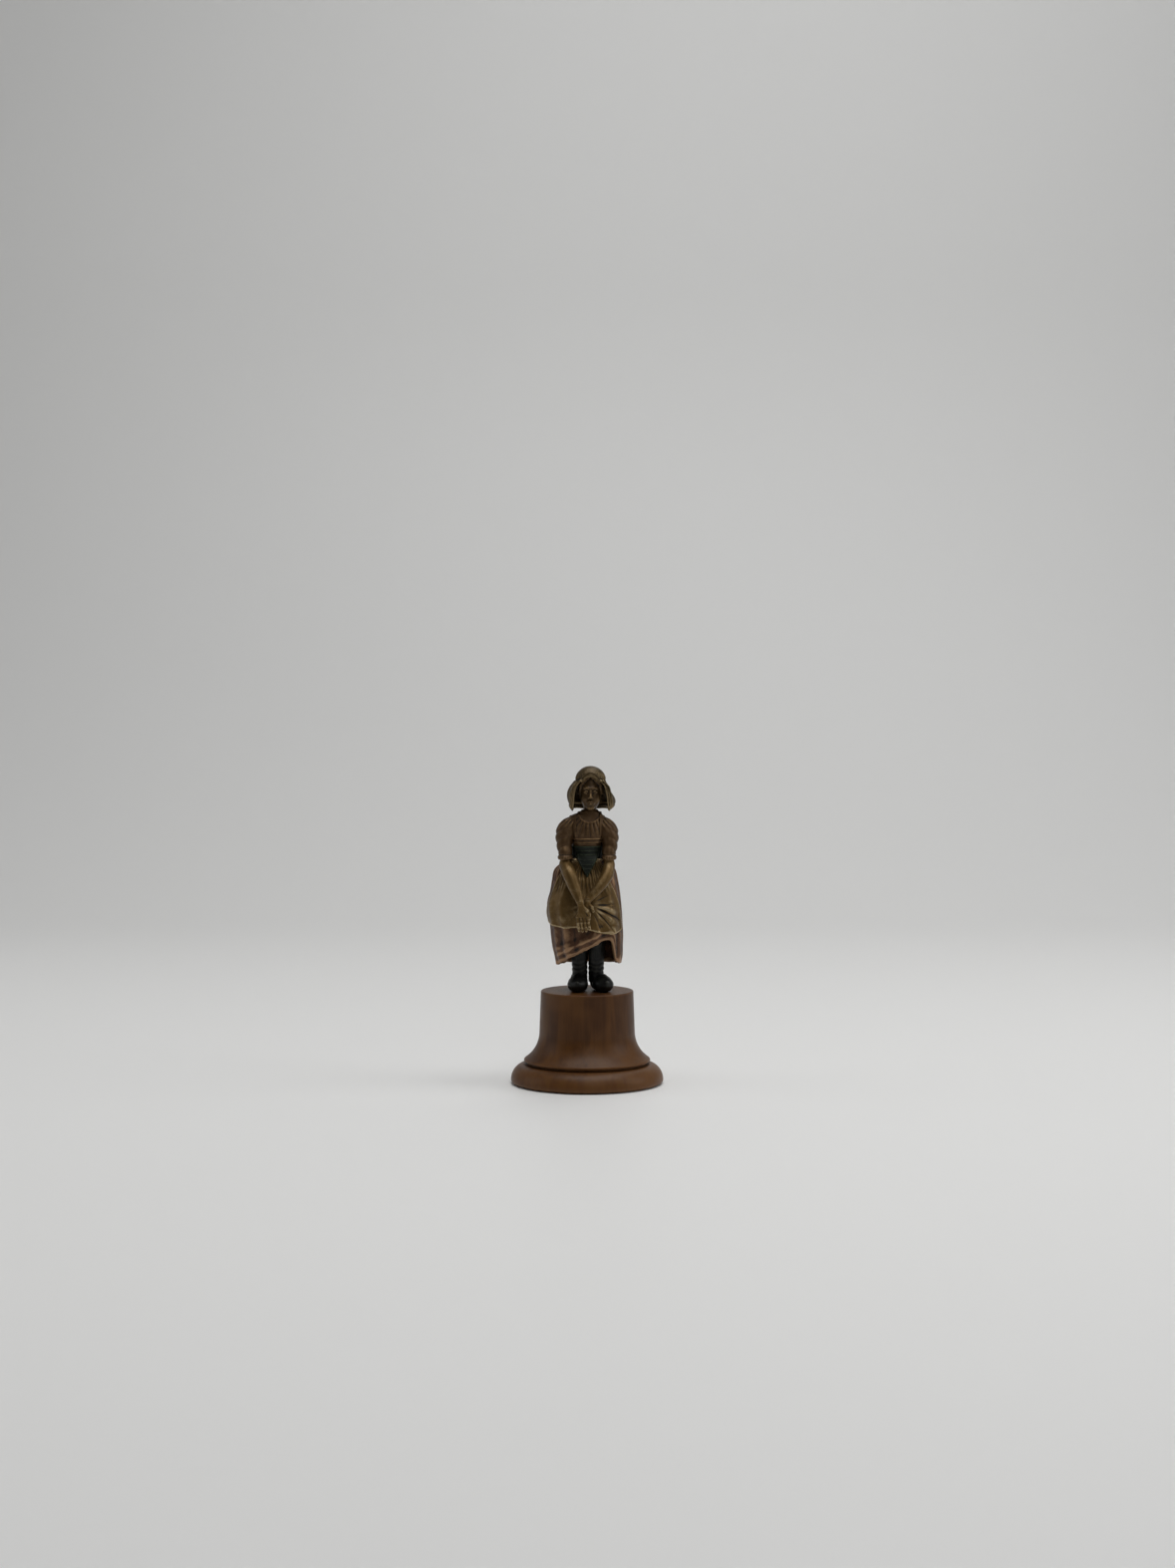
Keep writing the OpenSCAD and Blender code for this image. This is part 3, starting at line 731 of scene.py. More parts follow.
def pathCord(name, path, settings, finish, closed=False):
    # a hem, string or lace: a round section swept along a path, slightly uneven as if modelled by hand
    settings = {**cord, **settings}
    n = len(path)
    edges = [(i, (i + 1) % n) for i in range(n if closed else n - 1)]
    swept = Grown(name, [tuple(p) for p in toScene(path)], edges, Radius="Float", Step="Float",
                  Uneven="Float", Lump="Float", Finish="Material")
    node, given = swept.node, swept.given
    curve = node("GeometryNodeMeshToCurve", {"Mesh": given["Line"]})["Curve"]
    even = node("GeometryNodeResampleCurve", {"Curve": curve, "Length": given["Step"]}, mode="LENGTH")
    ring = node("GeometryNodeCurvePrimitiveCircle",
                {"Resolution": settings["sides"], "Radius": given["Radius"]})
    sweep = node("GeometryNodeCurveToMesh",
                 {"Curve": even["Curve"], "Profile Curve": ring["Curve"], "Fill Caps": True})
    lumps = node("ShaderNodeTexNoise", {"Detail": 2.0, "Scale": given["Lump"]})[0]
    centred = swept.math("ShaderNodeMath", "SUBTRACT", lumps, 0.5)
    amount = swept.math("ShaderNodeMath", "MULTIPLY", centred, given["Uneven"])
    normal = node("GeometryNodeInputNormal")[0]
    push = node("ShaderNodeVectorMath", {0: normal, "Scale": amount}, operation="SCALE")[0]
    place = node("GeometryNodeSetPosition", {"Geometry": sweep["Mesh"], "Offset": push})[0]
    piece = swept.settle(place, Radius=settings["radius"] * figureScale * mm, Step=settings["step"] * mm,
                         Uneven=settings["uneven"] * mm, Lump=1 / (settings["lump"] * mm),
                         Finish=finishes[finish])
    addRelief(piece, (2, 8), (0.03, 0.12))
    return finished(piece, slots.get(finish, "bronze_" + finish))


skirt = {
    "rows": 130,
    "columns": 340,
    "wall": 1.0,
    "low": 8.0,
    "waist": 46.0,
    "sections": [                 # at even heights: centre x, centre y, half-width, front, back
        [0.4, 0.5, 10.8, 9, 9.3], [0.5, 0.5, 11.5, 9.7, 10.2], [0.1, 0.5, 12, 10.1, 10.8],
        [-0.1, 0.6, 12.3, 10.4, 11], [-0.4, 0.8, 12.4, 10.4, 11], [-0.9, 1, 12.7, 10.2, 10.8],
        [-1.1, 1.3, 12.6, 9.7, 10.3], [-0.8, 1.7, 11.9, 9, 9.6], [-0.8, 2.1, 11.2, 8.3, 8.6],
        [-0.8, 3, 10.2, 7.6, 6.9], [-0.2, 1.4, 6.8, 5.9, 5]],
    "hem": [                      # heights at even turns, from her left side by way of her back
        9.8, 9.6, 9.5, 9.4, 9.3, 9.3, 9.3, 9.3, 9.3, 9.3, 9.2, 9.2,
        9.2, 9.6, 10.4, 11.4, 12.6, 14, 15.4, 16.9, 18.4, 17.6, 11.4, 10],
    "gathers": 24,
    "gatherDepth": 0.12,
    "folds": 11,
    "foldDepth": 0.24,
    "tuckDepth": 0.4,             # of the folds that run along the lifted hem
    "hemCord": {"radius": 0.44, "uneven": 0.5, "lump": 1.6},
}

apron = {
    "rows": 150,
    "columns": 280,
    "thick": 0.7,
    "gap": 0.05,
    "turns": (180 / 360, 352 / 360),
    "middle": 266 / 360,          # the turn towards which it gathers
    "gather": 0.55,
    "top": 45.4,
    "edge": [24.6, 23.5, 23, 22.7, 22.5, 22.8, 22.6, 21.6, 20.8, 20.4, 20.6, 21.8, 24.5],
    "hub": (0.2, 30.5),           # x and z of the hands, from which its folds spread
    "foldDepth": 0.38,
    "bunchDepth": 0.75,
    "edgeCord": {"radius": 0.2, "uneven": 0.3, "lump": 1.2},
    "string": {"radius": 0.34, "uneven": 0.25, "lump": 0.9},
}


def ridges(phase):
    # rounded crests with sharp valleys between them, from 0 to 1
    return np.abs(np.sin(phase / 2))


def skirtPoint(turn, z, out):
    v = (z - skirt["low"]) / (skirt["waist"] - skirt["low"])
    cx, cy, half, front, back = np.moveaxis(curveAt(skirt["sections"], v), -1, 0)
    q = 2 * np.pi * turn
    low = 1 - v
    plain = 0.3 * low * np.cos(9 * q + np.radians(50) * low) + 0.2 * np.cos(14 * q - np.radians(80) * low)
    r = out + plain + skirtFolds(turn, z, low)
    s = np.sin(q)
    return np.stack([cx + (half + r) * np.cos(q), cy + np.where(s < 0, front + r, back + r) * s, z], -1)


def skirtFolds(turn, z, low):
    q = 2 * np.pi * turn
    above = z - loopAt(skirt["hem"], turn)
    gathers = skirt["gatherDepth"] * np.cos(skirt["gathers"] * q + 1.4 * np.sin(5 * q)) * smooth((z - 33) / 9)
    wander = 1.8 * np.sin(3 * q + 0.7) + 0.9 * low
    folds = skirt["foldDepth"] * (ridges(skirt["folds"] * q + wander) - 0.62) * smooth(low * 1.5)
    front = smooth((turn - 0.53) / 0.06) * smooth((0.93 - turn) / 0.05)
    tucks = hump(above - 2.6, 0.8) + 0.8 * hump(above - 5.3 - 1.6 * np.sin(q), 1.0)
    return gathers + folds * (1 - 0.5 * front) + skirt["tuckDepth"] * tucks * front


def makeSkirt():
    turn, v = np.meshgrid(np.arange(skirt["columns"]) / skirt["columns"], np.linspace(0, 1, skirt["rows"]))
    z = mix(loopAt(skirt["hem"], turn), skirt["waist"], v)
    piece = sheetPiece("skirtCloth", toScene(skirtPoint(turn, z, 0)), skirt["wall"], finishes["skirt"])
    bronzePiece(piece, "brown", "skirt")
    turn = np.linspace(0, 1, 420, endpoint=False)
    hem = skirtPoint(turn, loopAt(skirt["hem"], turn) + 0.1, -0.4 * skirt["wall"])
    pathCord("skirtHem", hem, skirt["hemCord"], "skirt", closed=True)


def apronPoint(t, v, out):
    first, last = apron["turns"]
    turn = mix(first, last, t)
    turn = mix(turn, apron["middle"], apron["gather"] * v)
    z = mix(curveAt(apron["edge"], t), apron["top"], v)
    plain = skirtPoint(turn, z, 0)
    dx, dz = plain[..., 0] - apron["hub"][0], z - apron["hub"][1]
    away = np.hypot(dx, dz)
    angle = np.arctan2(dz, dx)
    spread = smooth((away - 1.5) / 4) * smooth((37 - z) / 7)
    quiet = 1 - 0.75 * smooth((-1.5 - dx) / 4)
    folds = apron["foldDepth"] * (ridges(11 * angle + 1.9 * np.sin(2.3 * angle)) - 0.6) * spread * quiet
    right = hump(angle + 0.62, 0.55) * smooth((dx - 2) / 2)
    bunch = apron["bunchDepth"] * (ridges(19 * angle + 0.25 * away) - 0.35) * right * smooth((away - 2) / 3)
    pleats = 0.12 * np.cos(2 * np.pi * 17 * (t - 0.5) + 1.6 * np.sin(9 * t)) * smooth((z - 33) / 4)
    # its sides lie close to the skirt
    flat = smooth(t / 0.16) * smooth((1 - t) / 0.16)
    stand = apron["gap"] + mix(0.45, 1, flat) * apron["thick"]
    return skirtPoint(turn, z, stand + out + (folds + bunch) * flat + pleats)


def makeApron():
    t, v = np.meshgrid(np.linspace(0, 1, apron["columns"]), np.linspace(0, 1, apron["rows"]))
    grid = apronPoint(t, v, 0.0)
    piece = sheetPiece("apronCloth", toScene(grid), apron["thick"], finishes["olive"], closed=False)
    bronzePiece(piece, "olive", "apron")
    along = np.linspace(0.02, 0.98, 320)
    pathCord("apronEdge", apronPoint(along, 0 * along, -0.25), apron["edgeCord"], "olive")
    turn = np.linspace(0.83, 1.67, 200)
    string = skirtPoint(turn, 0 * turn + 45.75, 0.35)
    pathCord("apronString", string, apron["string"], "olive")


body = {
    "cell": 0.12,
    "sections": [                 # height, centre x, centre y, half-width, front, back
        [46.02, 0, 0.4, 5.0, 4.2, 4.5], [48.2, 0, 0.3, 5.0, 4.3, 4.5], [50.4, 0.1, 0.1, 5.1, 4.8, 4.8],
        [52.8, 0.2, 0, 5.5, 5.1, 5.2], [55.2, 0.2, -0.1, 6.2, 5.1, 5.5], [57.6, 0.2, -0.2, 6.4, 4.6, 5.2],
        [59.6, 0.1, -0.3, 6.3, 3.8, 4.3], [60.8, 0, -0.4, 5.7, 3.2, 3.4], [61.8, 0.8, -0.4, 3.9, 2.9, 3]],
    "shoulder": 5.9,              # where the sleeves are seated
    "pleatDepth": 0.16,
    "pleats": 17,                 # per radian about a point above the neck
    "neck": (0.9, -0.4),
    "neckline": (0.9, 62.6, 3.7), # centre x, height and radius of the neck's opening
    "strapX": 0.3,                # the middle between her shoulder straps
    "bodice": (46.1, 50.4),
    "band": (51.35, 53.3),
    "point": [                    # height, half-width and y of the front of the bodice's plastron
        [40.3, 0.2, -6.45], [41.8, 0.9, -6.3], [43.2, 1.8, -6.2], [44.8, 2.7, -6.0], [46.4, 3.4, -5.6],
        [48.2, 3.9, -5.15], [50.8, 4.3, -5.4]],
    "laces": (48.9, 47.5, 45.7, 44.1, 42.7),
    "laceCord": {"radius": 0.19, "uneven": 0.1},
}


def torsoDistance(clay, out=0.0):
    cx, cy, half, front, back = sectionsAt(body["sections"], clay.z)
    dx, dy = clay.x - cx, clay.y - cy
    return ovalDistance(dx, dy, half + out, np.where(dy < 0, front, back) + out)


def makeTorso():
    clay = Clay((-6.5, -6, 45.4), (7, 6.4, 63), body["cell"])
    x, y, z = clay.x, clay.y, clay.z
    nx, ny = body["neck"]
    lineX, lineZ, lineR = body["neckline"]
    fan = np.arctan2(x - lineX, 64.5 - z)
    away = np.hypot(x - lineX, (z - lineZ) * np.where(y < 0, 1, 1.6)) - lineR
    shirt = smooth((away + 0.15) / 0.3)
    spread = smooth((z - 52.6) / 2) * smooth(away / 1.2)
    pleats = 2 * ridges(body["pleats"] * 2 * fan + 0.5 * np.sin(0.9 * z)) - 1.2
    pleats = body["pleatDepth"] * pleats * spread
    side = np.abs(x - body["strapX"])
    strap = smooth((side - 3.9) / 0.25) * smooth((z - 52.5) / 1.5) * smooth((60.6 - z) / 0.6)
    gathers = 0.1 * np.cos(16 * np.arctan2(y, x)) * smooth((48.5 - z) / 2)
    height = pleats * (1 - strap) + 0.2 * strap + gathers + 0.22 * shirt
    height = height + 0.16 * hump(away - 0.35, 0.28)
    height = height - 0.14 * hump(side - 3.85, 0.22) * smooth((z - 53) / 1.5)
    clay.add(torsoDistance(clay) - height)
    clay.cut(body["shoulder"] + 0.05 - np.abs(x), 0.25)
    clay.cut(62.3 - z, 0.3)
    clay.cut(z - 46.0, 0.1)
    clay.add(clay.rod((nx, ny, 60.5), (nx, ny - 0.1, 62.6), 3.3, 2.9), 0.8)
    bronzePiece(clay.piece("chemise", finishes["brown"]), "brown", "torso")


def bodiceBow(z):
    # how strongly the plastron curves round her at the height z
    return 0.045 + 0.1 * smooth((z - 44.5) / 3.5)


def makeBodice():
    clay = Clay((-6.2, -7.4, 39.8), (6.4, 6, 51), 0.13)
    x, y, z = clay.x, clay.y, clay.z
    low, high = body["bodice"]
    ribs = 0.09 * np.cos(14 * np.arctan2(y, x) * 2)
    ring = np.maximum(torsoDistance(clay, 0.55) - ribs, np.maximum(low - z, z - high))
    half, front = sectionsAt(body["point"], z)
    slab = np.maximum(np.abs(x) - half - 0.15, np.abs(y - front - 0.1 - bodiceBow(z) * x * x) - 0.42)
    slab = np.maximum(slab, np.maximum(40.0 - z, z - high))
    clay.add(ring)
    clay.add(slab, 0.25)
    clay.lift(0.1 * hump(z - 50.1, 0.3) + 0.12 * hump(half - 0.3 - np.abs(x), 0.22) * smooth(z - 42))
    bronzePiece(clay.piece("stomacher", finishes["green"], 3), "green", "bodice")
    for number, height in enumerate(body["laces"]):
        half, front = sectionsAt(body["point"], height)
        x = np.linspace(-0.9, 0.9, 24) * half
        path = np.stack([x, front - 0.3 + bodiceBow(height) * x ** 2, height + 0.05 * np.sin(2 * x)], -1)
        pathCord("lace" + str(number + 1), path, body["laceCord"], "green")


def makeChestBand():
    low, high = body["band"]
    clay = Clay((-6.6, -6.6, low - 0.5), (7, 6.6, high + 0.5), body["cell"])
    clay.add(np.maximum(torsoDistance(clay, 0.42), np.maximum(low + 0.1 - clay.z, clay.z - high + 0.1)))
    clay.lift(0.26 * hump(clay.z - 51.75, 0.3) + 0.26 * hump(clay.z - 52.9, 0.3))
    clay.cut(torsoDistance(clay, -0.6), 0.1)
    bronzePiece(clay.piece("bandRoll", finishes["brown"]), "brown", "chest_band")


sleeve = {
    "cell": 0.12,
    "sections": [                 # of her left sleeve: height, centre x, centre y, half-width, half-depth
        [45.8, 7.6, -4.1, 2.2, 2.4], [48.4, 7.6, -3.2, 2.5, 2.8], [51.4, 7.9, -1.9, 2.75, 3.2],
        [54.2, 7.4, -0.8, 3.5, 3.8], [57, 6.6, -0.4, 3.7, 3.6], [59.4, 5.2, -0.3, 3.0, 2.7],
        [60.5, 4.7, -0.3, 1.4, 1.2]],
    "foldDepth": 0.36,
    "foldStep": 3.1,
    "cuffDepth": 0.3,
}


def makeSleeve(name, node, side):
    clay = Clay((4.0, -7.6, 45), (12, 4.6, 61.6), sleeve["cell"])
    x, y, z = clay.x, clay.y, clay.z
    cx, cy, half, depth = sectionsAt(sleeve["sections"], z)
    dx, dy = x - cx, y - cy
    around = np.arctan2(dy, dx)
    swing = 1.1 * np.sin(around + 0.9) + 0.45 * np.sin(2 * around + 1.7 + 0.5 * side)
    folds = sleeve["foldDepth"] * (ridges(2 * np.pi * (z + swing) / sleeve["foldStep"]) - 0.62)
    folds = folds * smooth((z - 47) / 1.5) * smooth((58 - z) / 3) * (0.6 + 0.4 * np.cos(around - 0.6 * side))
    gathers = 0.2 * np.cos(13 * around + 0.4 * z) * hump(z - 58.6, 1.8)
    cuff = sleeve["cuffDepth"] * hump(z - 46.5, 0.62) - 0.22 * hump(z - 47.45, 0.25)
    height = folds + gathers + cuff + 0.05 * np.cos(18 * around) * hump(z - 46.5, 0.9)
    d = ovalDistance(dx, dy, half, depth)
    clay.add(d - height)
    clay.cut(61.0 - z, 0.3)
    clay.cut(z - 45.75, 0.25)
    clay.cut(x - 4.5, 0.2)
    clay.cut(clay.rod((7.6, -4.1, 44), (7.6, -4.1, 46.4), 1.9, 1.9), 0.2)
    piece = clay.piece(name, finishes["brown"])
    if side < 0:
        mirror(piece)
    bronzePiece(piece, "brown", node)


def mirror(piece):
    mesh = piece.data
    mesh.transform(((-1, 0, 0, 0), (0, 1, 0, 0), (0, 0, 1, 0), (0, 0, 0, 1)))
    mesh.flip_normals()
    mesh.update()


arms = {
    "cell": 0.115,
    "right": {
        "path": [[-7.6, -4.3, 43.9], [-6.1, -8.3, 41.2], [-4.0, -10.9, 36.1], [-2.3, -13.2, 31.6]],
        "radii": [2.1, 2.4, 2.1, 1.2],
        "wrist": [-2.2, -13.3, 31.2], "knuckle": [-1.6, -13.9, 27], "thumb": [0.75, -13.7, 27.3],
        "lean": 0.7},
    "left": {
        "path": [[7.6, -4.3, 43.9], [6.8, -7.2, 40.5], [3.7, -9.9, 36.1], [0.4, -11.2, 32.4]],
        "radii": [2.0, 2.1, 1.75, 1.15],
        "wrist": [0.1, -11.3, 32], "knuckle": [-0.9, -11.9, 28], "thumb": [2.1, -11.9, 28.6],
        "lean": -0.5},
    "palm": 1.62,                 # half the width of the row of knuckles
    "fingers": [4.6, 5.0, 4.9, 4.1],
    "fingerRadii": [0.62, 0.58, 0.53, 0.44],
}


def makeArm(name, node, settings):
    path = np.array(settings["path"])
    wrist, knuckle = array(*settings["wrist"]), array(*settings["knuckle"])
    low = np.minimum(path.min(0), knuckle - [2.6, 1, 5.8]) - [2.6, 1.6, 0.4]
    high = np.maximum(path.max(0), knuckle) + [3.8, 2.4, 3.6]
    clay = Clay(low, high, arms["cell"])
    t = np.linspace(0, 1, 17)
    clay.add(clay.limb(curveAt(path, t), curveAt(settings["radii"], t), 0))
    clay.add(clay.rod(path[0], path[0] + [0, 0, 2.9], 1.8, 1.7), 0.5)
    clay.add(clay.rod(path[-1], wrist + (wrist - path[-1]) * 0.5, 1.1, 1.05), 0.6)
    middle = mix(wrist, knuckle, 0.5) + [0, 0.1, 0]
    palm = arms["palm"]
    roots = [knuckle + [mix(-palm, palm, i / 3), 0.1 * abs(i - 1.5), -0.25 * abs(i - 1.5)] for i in range(4)]
    for root in roots:
        clay.add(clay.limb([wrist, mix(middle, root, 0.55), root], [0.85, 0.78, 0.62], 0.3), 0.35)
    for i, (root, length) in enumerate(zip(roots, arms["fingers"])):
        tip = root + [settings["lean"] + 0.12 * (i - 1.5), 0.45, -length]
        bones = [root, mix(root, tip, 0.42) + [0, -0.34, 0], mix(root, tip, 0.74) + [0, -0.26, 0], tip]
        clay.add(clay.limb(bones, arms["fingerRadii"], 0.12), 0.1)
        for bone, size in zip(bones, (0.66, 0.6, 0.54)):
            clay.add(clay.ball(bone + [0, -0.06, 0], (size, size * 0.95, size * 0.8)), 0.16)
        nail = tip + [0, -0.38, 0.12]
        clay.cut(clay.ball(nail + [0, -0.16, 0.0], (0.3, 0.16, 0.42)), 0.06)
    thumb = array(*settings["thumb"])
    start = mix(wrist, knuckle, 0.25) + [0.5, -0.1, 0]
    bend = mix(start, thumb, 0.55) + [0.25, -0.25, 0.2]
    clay.add(clay.limb([start, bend, thumb], [0.8, 0.68, 0.5], 0.2), 0.3)
    clay.cut(clay.ball(thumb + [0.05, -0.55, 0.1], (0.3, 0.16, 0.4)), 0.06)
    clay.cut(clay.rod(wrist + [-1.3, -1.15, 0.7], wrist + [1.3, -1.15, 0.5], 0.13, 0.13), 0.18)
    bronzePiece(clay.piece(name, finishes["olive"]), "olive", node)


head = {
    "cell": 0.115,
    "x": 1.2,                     # of the middle of her face
    "features": [                 # how, path from the middle of her face, radii, blend, blend along the path
        ("add", [(0, -0.6, 70.6)], [(4.1, 4.7, 5.6)], 0.3),
        ("add", [(0, -2.3, 67.2)], [(3.3, 3.5, 4.3)], 1.2),
        ("add", [(0, -4.5, 63.85)], [(1.25, 1.1, 1.0)], 0.9),
        ("addPair", [(2.0, -3.9, 67.0)], [(1.4, 1.5, 1.6)], 0.9),
        ("addPair", [(0.75, -5.25, 70.45), (2.3, -4.6, 70.6)], [0.42, 0.36], 0.8),
        ("cutPair", [(1.5, -6.1, 69.15)], [(1.05, 0.85, 0.75)], 0.6),
        ("addPair", [(1.5, -4.62, 69.1)], [(0.92, 0.8, 0.8)], 0.12),
        ("addPair", [(0.68, -5.22, 69.0), (1.15, -5.52, 69.42), (1.75, -5.5, 69.48), (2.42, -4.98, 69.02)],
         [0.1, 0.17, 0.17, 0.1], 0.14, 0.1),
        ("addPair", [(0.68, -5.22, 68.95), (1.5, -5.42, 68.62), (2.38, -4.95, 68.95)],
         [0.09, 0.13, 0.09], 0.14, 0.1),
        ("cutPair", [(1.48, -5.5, 69.06)], [(0.2, 0.14, 0.22)], 0.06),
        ("addPair", [(0.6, -5.65, 70.28), (1.4, -5.58, 70.72), (2.45, -4.85, 70.5)],
         [0.13, 0.16, 0.1], 0.25, 0.15),
        ("add", [(0, -5.35, 70.2), (0, -5.75, 69.2), (0, -6.55, 67.6)], [0.4, 0.42, 0.5], 0.5, 0.4),
        ("add", [(0, -6.62, 67.35)], [(0.58, 0.58, 0.5)], 0.3),
        ("addPair", [(0.6, -6.1, 67.2)], [(0.36, 0.42, 0.36)], 0.2),
        ("cutPair", [(0.3, -6.55, 66.86)], [(0.15, 0.22, 0.16)], 0.08),
        ("add", [(0, -5.35, 65.55)], [(1.45, 0.6, 0.95)], 0.6),
        ("cut", [(0, -6.2, 66.7), (0, -6.2, 66.05)], [0.13, 0.18], 0.2),
        ("addPair", [(0, -6.0, 65.78), (0.35, -6.02, 65.88), (1.15, -5.55, 65.58)],
         [0.22, 0.24, 0.1], 0.18, 0.15),
        ("add", [(-1.0, -5.6, 65.35), (0, -6.02, 65.1), (1.0, -5.6, 65.35)], [0.14, 0.32, 0.14], 0.18, 0.2),
        ("cut", [(-1.25, -5.75, 65.5), (0, -6.5, 65.47), (1.25, -5.75, 65.5)], [0.07, 0.12, 0.07], 0.1, 0.1),
        ("cut", [(-0.5, -5.95, 64.55), (0.5, -5.95, 64.55)], [0.14, 0.14], 0.35)],
    "neck": ([(0.9, -0.4, 61.2), (1.0, -0.7, 63.4), (1.2, -1.2, 66)], [2.45, 2.15, 2.3], 0.6),
    "locks": 4,                   # of hair on each side
    "strand": 0.42,               # width of a strand
}


def makeHead():
    clay = Clay((-4.3, -8, 60.9), (6.7, 5.4, 77.6), head["cell"])
    hx = head["x"]
    for how, path, radii, blend, *along in head["features"]:
        for side in (-1, 1) if how.endswith("Pair") else (1,):
            places = [(hx + side * x, y, z) for x, y, z in path]
            shape = clay.limb(places, radii, *along) if path[1:] else clay.ball(places[0], radii[0])
            (clay.cut if how.startswith("cut") else clay.add)(shape, blend)
    clay.add(clay.limb(*head["neck"]), 0.6)
    hair = None
    for side in (-1, 1):
        for layer in range(head["locks"]):
            lift = layer * 0.55
            path = [(0.1, -4.9 + 0.5 * lift, 74.7 + 0.5 * lift), (1.9, -4.75 + 0.7 * lift, 73.6 + 0.5 * lift),
                    (3.35 + 0.1 * layer, -3.4 + 0.8 * lift, 71.4 + 0.2 * lift),
                    (3.75 + 0.1 * layer, -2.3 + 0.8 * lift, 68.6)]
            lock = clay.limb([(hx + side * x, y, z) for x, y, z in path], [0.5, 0.72, 0.72, 0.45], 0.4)
            hair = clay.join(hair, lock, 0.12)
    around = np.hypot(clay.x - hx, 0.8 * (clay.z - 68))
    hair = hair - 0.07 * np.cos(2 * np.pi * around / head["strand"])
    clay.add(hair, 0.15)
    bronzePiece(clay.piece("faceAndHair", finishes["face"]), "brown", "head")


bonnet = {
    "rows": 165,
    "columns": 300,
    "wall": 0.7,
    "centre": (1.2, -1.0),
    "deep": 1.12,                 # depth of its back against its width
    "crown": (5.2, 73.3, 78.1),   # radius and height of the dome's foot, and top
    "brim": [                     # radius and height at even turns, from her left by way of her back
        [6.8, 63.4], [6.9, 63.5], [6.9, 63.6], [6.6, 63.4], [6.5, 63.3], [6.6, 63.4],
        [6.8, 63.6], [6.8, 63.5], [6.6, 63.4], [6.9, 63.6], [7.5, 71], [6.5, 74.1],
        [5.8, 74.8], [6.5, 74.1], [7.5, 71], [7, 63.6]],
    "drop": 10.0,                 # height over which the sides of the mesh are ruled
    "side": 0.6,                  # share of the rows on the sides
    "bell": (2.3, 1.0),           # how far the sides and the back bulge
    "bellPeak": (1.45, 0.55),     # the bulge sits lower on her left than on her right
    "band": (0.38, 1.5),          # thickness and width of the folded-back band
    "edgeCord": {"radius": 0.36, "uneven": 0.3, "lump": 1.3},
}


def bonnetRow(turn, v):
    # rows run from the edge (v = 0) to the top (v = 1), even along the sides and the dome
    edgeZ = loopAt(bonnet["brim"], turn)[..., 1]
    _, foot, top = bonnet["crown"]
    share = bonnet["side"]
    onDome = share + (1 - share) * np.arcsin(np.clip((edgeZ - foot) / (top - foot), 0, 1)) * 2 / np.pi
    start = np.where(edgeZ < foot, share * (1 - (foot - edgeZ) / bonnet["drop"]), onDome)
    return start, mix(start, 1, v)


def bonnetPoint(turn, v, out):
    edge = loopAt(bonnet["brim"], turn)
    r, foot, top = bonnet["crown"]
    share = bonnet["side"]
    _, w = bonnetRow(turn, v)
    drop = bonnet["drop"] * np.clip(share - w, 0, None) / share
    dome = np.pi / 2 * np.clip((w - share) / (1 - share), 0, 1)
    reach = np.clip(drop / np.maximum(foot - edge[..., 1], 0.01), 0, 1)
    q = 2 * np.pi * turn
    wide, back = bonnet["bell"]
    peak, uneven = bonnet["bellPeak"]
    bell = wide * np.cos(q) ** 2 + back * np.maximum(np.sin(q), 0) ** 2
    bell = bell * np.sin(np.pi * reach ** (peak + uneven * np.cos(q)))
    radius = mix(r * np.cos(dome), edge[..., 0], reach) + (out + bell) * np.cos(dome)
    height = foot - drop + (top - foot) * np.sin(dome) + out * np.sin(dome) + 0.3 * out * reach
    cx, cy = bonnet["centre"]
    deep = np.where(np.sin(q) > 0, bonnet["deep"], 1)
    return np.stack([cx + radius * np.cos(q), cy + deep * radius * np.sin(q), height], -1)


def makeBonnet():
    turn, v = np.meshgrid(np.arange(bonnet["columns"]) / bonnet["columns"], np.linspace(0, 1, bonnet["rows"]))
    q = 2 * np.pi * turn
    plain = bonnetPoint(turn, v, 0)
    share = bonnet["side"]
    start, w = bonnetRow(turn, v)
    fromEdge = (w - start) * bonnet["drop"] / share
    thick, width = bonnet["band"]
    width = width + 0.5 * hump(turn - 0.75, 0.025)
    band = thick * smooth((width - fromEdge) / 0.3) + 0.14 * hump(fromEdge - 0.5 * width, 0.2)
    across = np.abs(plain[..., 0] - bonnet["centre"][0])
    above = smooth((fromEdge - width) / 0.8)
    behind = smooth(plain[..., 1] / 1.5)
    seam = (0.14 * hump(across - 0.34, 0.22) - 0.2 * hump(across, 0.16)) * above * behind
    gathers = 0.1 * np.cos(40 * q + np.sin(3 * q)) * hump(w - share - 0.03, 0.1) * above
    flutes = 0.16 * (ridges(18 * q + 1.1 * np.sin(2 * q)) - 0.6) * smooth((share - w) / 0.15) * above
    hollow = -0.16 * hump(w - share, 0.012) * above
    grid = bonnetPoint(turn, v, band + seam + gathers + flutes + hollow)
    piece = sheetPiece("bonnetShell", toScene(grid), bonnet["wall"], finishes["bonnet"])
    bronzePiece(piece, "bonnet", "bonnet")
    turn = np.linspace(0, 1, 300, endpoint=False)
    edge = bonnetPoint(turn, 0 * turn, -0.2)
    pathCord("bonnetEdge", edge, bonnet["edgeCord"], "bonnet", closed=True)


feet = {
    "y": -1.2,
    "pivot": 2.1,                 # how far behind y a clog is turned about
    "cell": 0.13,
    "legCell": 0.17,
    "legRadii": [2.6, 2.75, 3.1, 3.2, 3.0],
    "right": {"clog": -2.95, "turn": -3, "ankle": -2.5, "hip": -3.8},
    "left": {"clog": 4.3, "turn": 13, "ankle": 3.1, "hip": 3.8},
}


